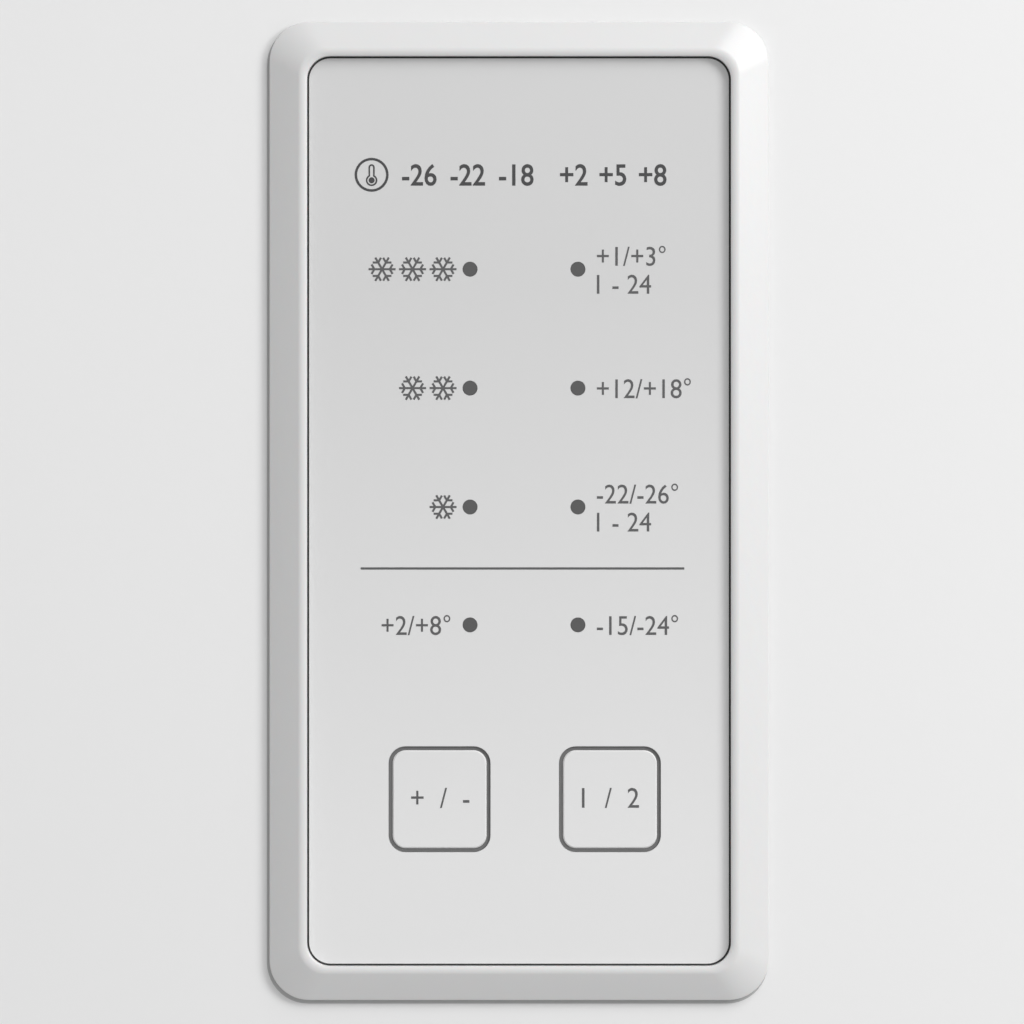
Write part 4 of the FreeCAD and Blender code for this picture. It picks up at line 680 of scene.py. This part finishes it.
# ---- control panel
@dataclass
class ControlPanel:
    """The door's control panel: bezel, strips of painted shade in the cover's gap and under the bezel's
    edge, skirts of the keys, and what is printed on the cover.

    Attributes:
        shop: Makes the pieces.
        bezel_radius: Outer corner radius of the bezel.
        hole_radius: Corner radius of the bezel's hole.
        cover_gap: Gap between cover and bezel.
        edge: Height of the bezel's upright outer edge.
        nose: Radius between that edge and the slope.
        lip: Radius of its rolled inner lip.
        lip_end: Slant of the lip's end at the hole, in degrees off square.
        foot: Chamfer at the foot of the outer edge, which leaves a dark crevice on the door.
        lift: Height of the bezel's underside over the door's face.
        crest: Height of the lip's crest over the door's face.
        ledge: Width and thickness of the ledge under the cover.
        neck: Distance from the bezel's edge to its neck, and the neck's wall.
        neck_depth: How far the neck reaches into the door.
        key_size: Width, height and corner radius of a key's opening.
        key_gap: Gap between a key and its opening.
        key_places: Middle of each key from the panel's middle.
        lamp_rows: Height of the lamp rows over the panel's middle.
        print_rise: Thickness of the printing.
        digit: Height of a digit beside the lamps.
        font_digit: Height of a digit in the built-in font at size 1.
        beside: Places of marks beside a lamp from its row: the upper and the lower of two, and a single one.
    """

    shop: Workshop
    bezel_radius: float = 8.0 * MM
    hole_radius: float = 4.7 * MM
    cover_gap: float = 0.4 * MM
    edge: float = 1.6 * MM
    nose: float = 0.35 * MM
    lip: float = 1.8 * MM
    lip_end: float = 55.0
    foot: float = 0.35 * MM
    lift: float = 0.03 * MM
    crest: float = 4.5 * MM
    ledge: tuple[float, float] = (2.6 * MM, 1.6 * MM)
    neck: tuple[float, float] = (4.1 * MM, 1.8 * MM)
    neck_depth: float = 10.0 * MM
    key_size: tuple[float, float, float] = (20.4 * MM, 21.2 * MM, 3.4 * MM)
    key_gap: float = 0.8 * MM
    key_places: dict[Body, tuple[float, float]] = field(default_factory=lambda: {
        Body.TEMP_KEY: (-15.9 * MM, -57.7 * MM), Body.ZONE_KEY: (18.2 * MM, -57.7 * MM)})
    lamp_rows: tuple[float, ...] = (48.4 * MM, 24.6 * MM, 0.8 * MM, -22.8 * MM)
    print_rise: float = 0.03 * MM
    digit: float = 4.0 * MM
    font_digit: float = 0.729
    beside: tuple[float, float, float] = (0.7 * MM, -4.9 * MM, -2.0 * MM)

    def __post_init__(self) -> None:
        """Reads the panel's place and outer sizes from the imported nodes."""
        low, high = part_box("panel_bezel")
        cover_low, cover_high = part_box("panel_cover")
        self.middle = np.array([(low.x + high.x) / 2, (low.z + high.z) / 2])
        self.door_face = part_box("door_skin")[0].y
        self.cover_face = cover_low.y
        self.cover_back = cover_high.y
        self.print_face = self.cover_face - self.print_rise
        self.outer = Outline(high.x - low.x, high.z - low.z, self.bezel_radius, *self.middle)
        self.hole = Outline(cover_high.x - cover_low.x + 2 * self.cover_gap,
                            cover_high.z - cover_low.z + 2 * self.cover_gap, self.hole_radius, *self.middle)
        self.reach = (self.outer.width - self.hole.width) / 2

    def section(self) -> np.ndarray:
        """The bezel's section as distance in from its outer edge, and height over the door's face.

        An upright edge stands on the door, a straight slope is tangent to its nose and to the rolled lip,
        the lip ends at the hole, and behind it lie the cover's ledge and the neck.

        Returns:
            Corner points of the closed section, n by 2.
        """
        nose = np.array([self.nose, self.edge - self.nose])
        lip = np.array([self.reach - self.lip * math.cos(math.radians(self.lip_end)), self.crest - self.lip])
        along = lip - nose
        tangent = math.degrees(math.atan2(along[1], along[0])
                               + math.acos((self.nose - self.lip) / np.hypot(*along)))
        seat = self.door_face - self.cover_back
        ledge_end, under = self.reach + self.ledge[0], seat - self.ledge[1]
        start, stop = self.neck[0], self.neck[0] + self.neck[1]
        back = np.array([(self.reach, seat), (ledge_end, seat), (ledge_end, under), (stop, under),
                         (stop, -self.neck_depth), (start, -self.neck_depth), (start, self.lift),
                         (self.foot, self.lift), (0.0, self.foot)])
        return np.concatenate([arc(nose, self.nose, 180.0, tangent, 8),
                               arc(lip, self.lip, tangent, self.lip_end, 18), back])

    def bezel(self) -> None:
        """The bezel: its section carried round an outline whose size and corners change on the way in."""
        section = self.section()
        outlines = [self.outer.towards(self.hole, inward / self.reach) for inward in section[:, 0]]
        shape = closed_ring(outlines, list(self.door_face - section[:, 1]), 16)
        made = self.shop.piece("panel_bezel_moulding", shape, Body.DOOR, Slot.BEZEL, crease=50.0)
        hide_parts("panel_bezel")

    def painted_foot_shadow(self) -> None:
        """A thin grey strip under the bezel's edge, set a little low and left so that it shows there as a
        painted shadow of the bezel on the door.
        """
        # The shift to the left and down puts the painted shadow on the sides away from the lamps.
        left, down = 0.30 * MM, 0.55 * MM
        outwards, inwards = 0.25 * MM, 0.9 * MM
        proud, sunk = 0.025 * MM, 0.02 * MM
        line = replace(self.outer, x=self.outer.x - left, z=self.outer.z - down)
        shape = tube(line.grown(outwards).points(), line.grown(-inwards).points(),
                     self.door_face - proud, self.door_face + sunk)
        self.shop.piece("bezel_painted_foot_shadow", shape, Body.DOOR, Slot.SEAL, Trim.FOOT_SHADOW)

    def painted_gap_shade(self) -> None:
        """A near-black strip in the gap between the cover and the bezel, just below the cover's face, as
        painted shade that darkens the gap.
        """
        sunk, thick, spare = 0.25 * MM, 0.5 * MM, 0.01 * MM
        cover = self.hole.grown(-self.cover_gap)
        near = self.cover_face + sunk
        shape = tube(self.hole.grown(-spare).points(), cover.grown(spare).points(), near, near + thick)
        self.shop.piece("cover_painted_gap_shade", shape, Body.DOOR, Slot.BLACK_RUBBER, Trim.GAP_SHADE)

    def key_skirts(self) -> None:
        """A soft skirt round each key that fills the gap to the cover, just below both faces."""
        spare, sunk, thick = 0.06 * MM, 0.38 * MM, 0.6 * MM
        near = self.cover_face + sunk
        for body, place in self.key_places.items():
            opening = Outline(*self.key_size, *(self.middle + place))
            outer, inner = opening.grown(-spare), opening.grown(-self.key_gap - spare)
            shape = tube(outer.points(10), inner.points(10), near, near + thick)
            self.shop.piece(body.value + "_skirt", shape, body, Slot.BLACK_RUBBER, Trim.KEY_SKIRT)

    def printed(self, name: str, outlines: list[np.ndarray]) -> None:
        """Printed marks: thin plates on the cover.

        Args:
            name: The piece's name.
            outlines: Outlines in X and Z from the panel's middle.
        """
        shapes = [prism(outline + self.middle, self.print_face, self.cover_face) for outline in outlines]
        self.shop.piece(name, gather(shapes), Body.DOOR, Slot.SMOKED, Trim.INK)

    def flake(self, x: float, z: float) -> np.ndarray:
        """Outline of a snow crystal: one arm with its pair of barbs, turned six times by 60 degrees.

        An arm is a bar of half width a along X. Its barbs are bars of the same width that leave it at 60
        degrees, and neighbouring arms meet in a notch at twice a from the middle.

        Args:
            x: Middle in X from the panel's middle.
            z: Middle in Z.

        Returns:
            Outline points, 66 by 2.
        """
        a, reach, fork, barb = 0.21 * MM, 2.7 * MM, 1.55 * MM, 1.1 * MM
        c, s = math.cos(math.pi / 3), math.sin(math.pi / 3)
        upper = np.array([(reach, a), (fork + a / math.tan(math.pi / 6), a),
                          (fork + a * s + barb * c, -a * c + barb * s),
                          (fork - a * s + barb * c, a * c + barb * s),
                          (fork - a * math.tan(math.pi / 6), a)])
        notch = 2 * a * np.array([[math.cos(math.pi / 6), math.sin(math.pi / 6)]])
        px, pz = np.concatenate([upper[::-1] * (1, -1), upper, notch]).T
        turn = np.arange(6)[:, None] * math.pi / 3
        turned = [px * np.cos(turn) - pz * np.sin(turn), px * np.sin(turn) + pz * np.cos(turn)]
        return np.stack(turned, axis=2).reshape(-1, 2) + (x, z)

    def flakes(self) -> None:
        """Rows of three, two and one snow crystals beside the upper lamps of the left column."""
        last, pitch = -15.2 * MM, 6.1 * MM
        marks = [self.flake(last - pitch * i, row) for count, row in zip((3, 2, 1), self.lamp_rows)
                 for i in range(count)]
        self.printed("panel_snow_marks", marks)

    def rule(self) -> None:
        """The thin line between the lamps of the levels and those of the zones."""
        line = Outline(width=64.8 * MM, height=0.45 * MM, radius=0.1 * MM, x=0.7 * MM, z=-11.5 * MM)
        self.printed("panel_rule", [line.points(3)])

    def numerals(self, name: str, marks: list[tuple[str, float, float]], rise: float, body: Body = Body.DOOR,
                 trim: Trim = Trim.INK, weight: float = 0.0, narrow: float = 0.92) -> None:
        """Plain numbers on the cover, thin raised plates in the built-in font.

        Args:
            name: The piece's name.
            marks: For each mark its text, its left edge and its foot from the panel's middle.
            rise: Height of a digit.
            body: The body that carries the print.
            trim: The ink.
            weight: How far the strokes are thickened.
            narrow: Width of the font as a share of its own.
        """
        shapes = []
        scale = rise / self.font_digit
        for text, left, foot in marks:
            curve = bpy.data.curves.new(name, "FONT")
            curve.body, curve.size, curve.offset = text, 1.0, weight
            curve.extrude, curve.resolution_u = 0.5, 4
            carrier = bpy.data.objects.new(name, curve)
            flat = bpy.data.meshes.new_from_object(carrier)
            corners = np.empty(len(flat.vertices) * 3)
            flat.vertices.foreach_get("co", corners)
            across, up, out = corners.reshape(-1, 3).T
            x = (across - across.min()) * scale * narrow + left + self.middle[0]
            y = self.cover_face - (out + curve.extrude) * self.print_rise
            z = up * scale + foot + self.middle[1]
            shapes.append((np.column_stack([x, y, z]), [list(face.vertices) for face in flat.polygons]))
            bpy.data.objects.remove(carrier)
            bpy.data.curves.remove(curve)
            bpy.data.meshes.remove(flat)
        self.shop.piece(name, gather(shapes), body, Slot.SMOKED, trim, weld=0.2 * self.print_rise)

    def labels(self) -> None:
        """Plain numbers beside the lamps and on the keys."""
        left, far_left = 15.6 * MM, -27.5 * MM
        upper, lower, single = self.beside
        first, second, third, fourth = self.lamp_rows
        self.numerals("panel_numbers", [
            ("+1/+3°", left, first + upper), ("1 - 24", left, first + lower),
            ("+12/+18°", left, second + single),
            ("-22/-26°", left, third + upper), ("1 - 24", left, third + lower),
            ("-15/-24°", left, fourth + single), ("+2/+8°", far_left, fourth + single)], self.digit)
        sign, foot = 1.05 * self.digit, -59.4 * MM
        self.numerals("temp_key_sign", [("+  /  -", -21.6 * MM, foot)], sign, Body.TEMP_KEY)
        self.numerals("zone_key_sign", [("1  /  2", 12.6 * MM, foot)], sign, Body.ZONE_KEY)

    def header_scale(self) -> None:
        """The plain temperature numbers of both zones over the lamps."""
        foot, rise = 65.2 * MM, 4.4 * MM
        marks = [("-26", -23.4), ("-22", -13.7), ("-18", -4.0), ("+2", 8.2), ("+5", 16.1), ("+8", 24.0)]
        self.numerals("panel_scale", [(text, left * MM, foot) for text, left in marks], rise,
                      trim=Trim.HEADER_INK, weight=0.012, narrow=0.9)

    def thermometer(self) -> None:
        """A plain thermometer in a ring: a bulb and a stem drawn as one line, with a filled bulb."""
        middle = self.middle + (-29.5 * MM, 67.3 * MM)
        ring_outer, ring_inner = 3.4 * MM, 2.9 * MM
        bulb, stem, wall = 1.15 * MM, 0.62 * MM, 0.32 * MM
        low, top = middle - (0.0, 1.1 * MM), middle + (0.0, 1.5 * MM)
        depths = self.print_face, self.cover_face
        outlines = []
        for inset in (0.0, wall):
            neck = math.degrees(math.acos((stem - inset) / (bulb - inset)))
            outlines.append(np.concatenate([arc(low, bulb - inset, 180.0 - neck, 360.0 + neck, 25),
                                            arc(top, stem - inset, 0.0, 180.0, 13)]))
        shapes = [tube(circle(middle, ring_outer, 40), circle(middle, ring_inner, 40), *depths),
                  tube(*outlines, *depths), prism(circle(low, bulb - 1.7 * wall, 24), *depths)]
        self.shop.piece("panel_thermometer", gather(shapes), Body.DOOR, Slot.SMOKED, Trim.HEADER_INK)

    def build(self) -> None:
        """Builds the whole panel."""
        self.bezel()
        self.painted_foot_shadow()
        self.painted_gap_shade()
        self.key_skirts()
        self.flakes()
        self.rule()
        self.labels()
        self.header_scale()
        self.thermometer()


# ---- gaskets
@dataclass(frozen=True)
class Bellows:
    """A magnetic gasket: foot, two folds of bellows and a magnet's sleeve, carried round a front.

    Attributes:
        shop: Makes the pieces.
        width: Width of the gasket.
        corner: Corner radius of its middle line.
        tightest: Least corner radius of any line of its section.
    """

    shop: Workshop
    width: float = 12.0 * MM
    corner: float = 6.5 * MM
    tightest: float = 0.4 * MM

    def section(self) -> np.ndarray:
        """Half of the section and its mirror image.

        Returns:
            Corner points, n by 2: across from -1 to 1, and from the front (0) to the cabinet (1).
        """
        half = np.array([(0.30, 0.00), (0.36, 0.08), (0.78, 0.15), (0.80, 0.19), (0.50, 0.29), (0.50, 0.33),
                         (0.86, 0.44), (0.90, 0.50), (0.66, 0.57), (0.72, 0.62), (0.94, 0.66), (1.00, 0.74),
                         (1.00, 0.92), (0.93, 1.00)])
        return np.concatenate([half, half[::-1] * (-1, 1)])

    def build(self, node: str, body: Body) -> None:
        """Makes the gasket that replaces a packed one.

        Args:
            node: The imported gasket.
            body: The body that it rides on.
        """
        low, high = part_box(node)
        line = Outline(high.x - low.x - self.width, high.z - low.z - self.width, self.corner,
                       (low.x + high.x) / 2, (low.z + high.z) / 2)
        across, inwards = self.section().T
        outlines = [Outline(line.width + self.width * share, line.height + self.width * share,
                            max(self.corner + self.width / 2 * share, self.tightest), line.x, line.z)
                    for share in across]
        shape = closed_ring(outlines, list(low.y + (high.y - low.y) * inwards), 6)
        made = self.shop.piece(node + "_bellows", shape, body, Slot.SEAL, crease=60.0)
        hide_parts(node)


# ---- fasteners
@dataclass(frozen=True)
class BackScrews:
    """Cross-recessed pan-head screws round the panels of the back, one mesh for each panel.

    Attributes:
        shop: Makes the pieces.
        radius: Radius of a head.
        rise: Height of a head.
        flank: Height of its upright flank, as a share.
        recess: Depth of the cross.
        half_slot: Half the width of the cross's arms.
        arm: Length of an arm, as a share of the radius.
        hub: Radius of the innermost ring of points, as a share.
        rings: Rings of points on a head.
        spokes: Points in a ring.
        edge: Distance from a panel's edge to its screws.
    """

    shop: Workshop
    radius: float = 3.6 * MM
    rise: float = 1.9 * MM
    flank: float = 0.35
    recess: float = 1.1 * MM
    half_slot: float = 0.55 * MM
    arm: float = 0.62
    hub: float = 0.04
    rings: int = 12
    spokes: int = 32
    edge: float = 9.0 * MM

    def head(self) -> Shape:
        """One head pointing along Z: an elliptic dome over rings and angles, sunk where a cross covers it.

        Returns:
            Points and faces, with the first and the last ring closed.
        """
        ring, angle = np.meshgrid(np.linspace(self.hub, 1.0, self.rings),
                                  np.linspace(0, 2 * math.pi, self.spokes, endpoint=False), indexing="ij")
        x, y = ring * self.radius * np.cos(angle), ring * self.radius * np.sin(angle)
        dome = self.rise * (self.flank * (ring < 1.0) + (1 - self.flank) * np.sqrt(1 - ring ** 2))
        cross = (np.minimum(abs(x), abs(y)) < self.half_slot) & (ring < self.arm)
        points = np.stack([x, y, dome - self.recess * cross], axis=2).reshape(-1, 3)
        middle, foot = list(range(self.spokes)), list(range(len(points) - self.spokes, len(points)))
        return points, grid_faces(self.rings, self.spokes, wrap_columns=True) + [middle, foot]

    def rim(self, node: str, across: int, up: int) -> np.ndarray:
        """Places along the sides of a back panel, evenly spaced.

        Args:
            node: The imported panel.
            across: Screws along its top and bottom edges.
            up: Screws along each upright edge.

        Returns:
            Places on the back's outer face, n by 3.
        """
        low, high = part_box(node)
        x = np.linspace(low.x + self.edge, high.x - self.edge, across)
        z = np.linspace(low.z + self.edge, high.z - self.edge, up)
        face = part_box("machine_cover")[1].y
        spots = [(a, face, b) for a in x for b in z[[0, -1]]]
        return np.array(spots + [(a, face, b) for a in x[[0, -1]] for b in z[1:-1]])

    def build(self) -> None:
        """Makes the screws of the back panel and of the machine cover."""
        points, faces = self.head()
        turned = points @ np.array(Vector((0, 0, 1)).rotation_difference(Vector((0, 1, 0))).to_matrix()).T
        for node, across, up in (("back_panel", 4, 7), ("machine_cover", 4, 2)):
            shapes = [(turned + place, faces) for place in self.rim(node, across, up)]
            self.shop.piece(node + "_screws", gather(shapes), Body.CABINET, Slot.ZINC, Trim.SCREW_STEEL)


# ---- studio
@dataclass(frozen=True)
class Lamp:
    """A square soft light that the camera doesn't see.

    Attributes:
        name: The light's name.
        place: Where it hangs, from the picture's middle, or with a target of its own from the floor's.
        size: Length of its side.
        power: Its power in watts.
        target: What it points at, if that isn't the picture's middle.
    """

    name: str
    place: tuple[float, float, float]
    size: float
    power: float
    target: tuple[float, float, float] | None = None

    def hang(self, middle: Vector) -> None:
        """Hangs the light.

        Args:
            middle: The picture's middle.
        """
        place = Vector(self.place) if self.target else middle + Vector(self.place)
        target = Vector(self.target or middle)
        light = bpy.data.lights.new(self.name, "AREA")
        light.size, light.energy = self.size, self.power
        made = bpy.data.objects.new(self.name, light)
        made.location = place
        made.rotation_euler = (target - place).to_track_quat("-Z", "Y").to_euler()
        made.visible_camera = False
        show(made)


@dataclass(frozen=True)
class Studio:
    """Floor, lights and camera.

    Attributes:
        view_width: Width of the door that the picture shows.
        distance: Camera to the door's face.
        aside: The picture's middle from the panel's middle, in X and Z.
        fill: Strength of the even light from all round.
        background: Tone of the background.
        floor_tone: Least and greatest tone of the floor.
        floor_fade: Distances from its middle at which the floor starts to fade, and is gone.
        floor_reach: Half the floor's side.
        lamps: The lights.
    """

    view_width: float = 205.4 * MM
    distance: float = 1.25
    aside: tuple[float, float] = (-1.4 * MM, -0.2 * MM)
    fill: float = 0.535
    background: float = 0.72
    floor_tone: tuple[float, float] = (0.76, 0.80)
    floor_fade: tuple[float, float] = (1.4, 6.0)
    floor_reach: float = 40.0
    lamps: tuple[Lamp, ...] = (
        Lamp("key_light", (1.35, -1.56, 1.95), size=1.5, power=36.0),
        Lamp("near_light", (0.92, -0.70, 0.42), size=0.4, power=5.7),
        Lamp("back_light", (-1.2, 4.6, 2.6), size=3.6, power=64.0, target=(0.0, 0.0, 0.9)))

    def world(self) -> None:
        """Even light from all round, in whose place the camera sees the pale background."""
        world = bpy.data.worlds.new("studio")
        bpy.context.scene.world = world
        wiring = Wiring.blank(world)
        light = wiring.add("ShaderNodeBackground", {"Color": (*grey(1.0), 1.0), "Strength": self.fill})
        seen = wiring.add("ShaderNodeBackground", {"Color": (*grey(self.background), 1.0), "Strength": 1.0})
        mixed = wiring.add("ShaderNodeMixShader", {
            0: wiring.add("ShaderNodeLightPath").outputs["Is Camera Ray"], 1: light.outputs[0],
            2: seen.outputs[0]})
        wiring.add("ShaderNodeOutputWorld", {"Surface": mixed.outputs[0]})

    def floor(self) -> None:
        """A pale floor that fades into the background with distance."""
        far = self.floor_reach
        corners = [(-far, -far, 0), (far, -far, 0), (far, far, 0), (-far, far, 0)]
        mesh = bpy.data.meshes.new("floor")
        mesh.from_pydata(corners, [], [(0, 1, 2, 3)])
        made = bpy.data.materials.new("floor")
        wiring = Wiring.blank(made)
        place = wiring.add("ShaderNodeTexCoord").outputs["Object"]
        away = wiring.add("ShaderNodeVectorMath", {0: place}, operation="LENGTH").outputs["Value"]
        fade = wiring.ramp(away, *self.floor_fade)
        share = wiring.maths("MULTIPLY", fade, wiring.add("ShaderNodeLightPath").outputs["Is Camera Ray"])
        tone = wiring.spread(wiring.noise(place, 3.0, 5.0), *self.floor_tone)
        matt = wiring.add("ShaderNodeBsdfPrincipled", {
            "Base Color": wiring.add("ShaderNodeCombineColor", {0: tone, 1: tone, 2: tone}).outputs[0],
            "Roughness": 0.6})
        glow = wiring.add("ShaderNodeEmission", {"Color": (*grey(self.background), 1.0)})
        mixed = wiring.add("ShaderNodeMixShader", {0: share, 1: matt.outputs[0], 2: glow.outputs[0]})
        wiring.add("ShaderNodeOutputMaterial", {"Surface": mixed.outputs[0]})
        mesh.materials.append(made)
        floor = bpy.data.objects.new("floor", mesh)
        show(floor)

    def camera(self, middle: Vector) -> None:
        """A long lens that looks straight at the door.

        Args:
            middle: The picture's middle on the door's face.
        """
        data = bpy.data.cameras.new("camera")
        data.lens = data.sensor_width * self.distance / self.view_width
        data.clip_start, data.clip_end = 0.05, 200.0
        made = bpy.data.objects.new("camera", data)
        made.location = middle + Vector((0, -self.distance, 0))
        made.rotation_euler = (math.pi / 2, 0, 0)
        show(made)
        bpy.context.scene.camera = made

    def build(self) -> None:
        """Sets up the studio."""
        bpy.context.scene.view_settings.view_transform = "Standard"
        low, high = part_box("panel_bezel")
        middle = Vector(((low.x + high.x) / 2 + self.aside[0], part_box("door_skin")[0].y,
                         (low.z + high.z) / 2 + self.aside[1]))
        self.world()
        self.floor()
        for lamp in self.lamps:
            lamp.hang(middle)
        self.camera(middle)


# ---- assembly
def main() -> None:
    """Dresses the refrigerator and sets up the studio."""
    logging.basicConfig(level=logging.INFO, format="%(name)s: %(message)s")
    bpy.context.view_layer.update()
    effects = Effects()
    effects.build()
    shop = Workshop(effects)
    shop.dress_nodes()
    ControlPanel(shop).build()
    gaskets = {"door_gasket": Body.DOOR, "upper_gasket": Body.UPPER, "lower_gasket": Body.LOWER}
    for node, body in gaskets.items():
        Bellows(shop).build(node, body)
    BackScrews(shop).build()
    Studio().build()


if __name__ == "__main__":
    main()
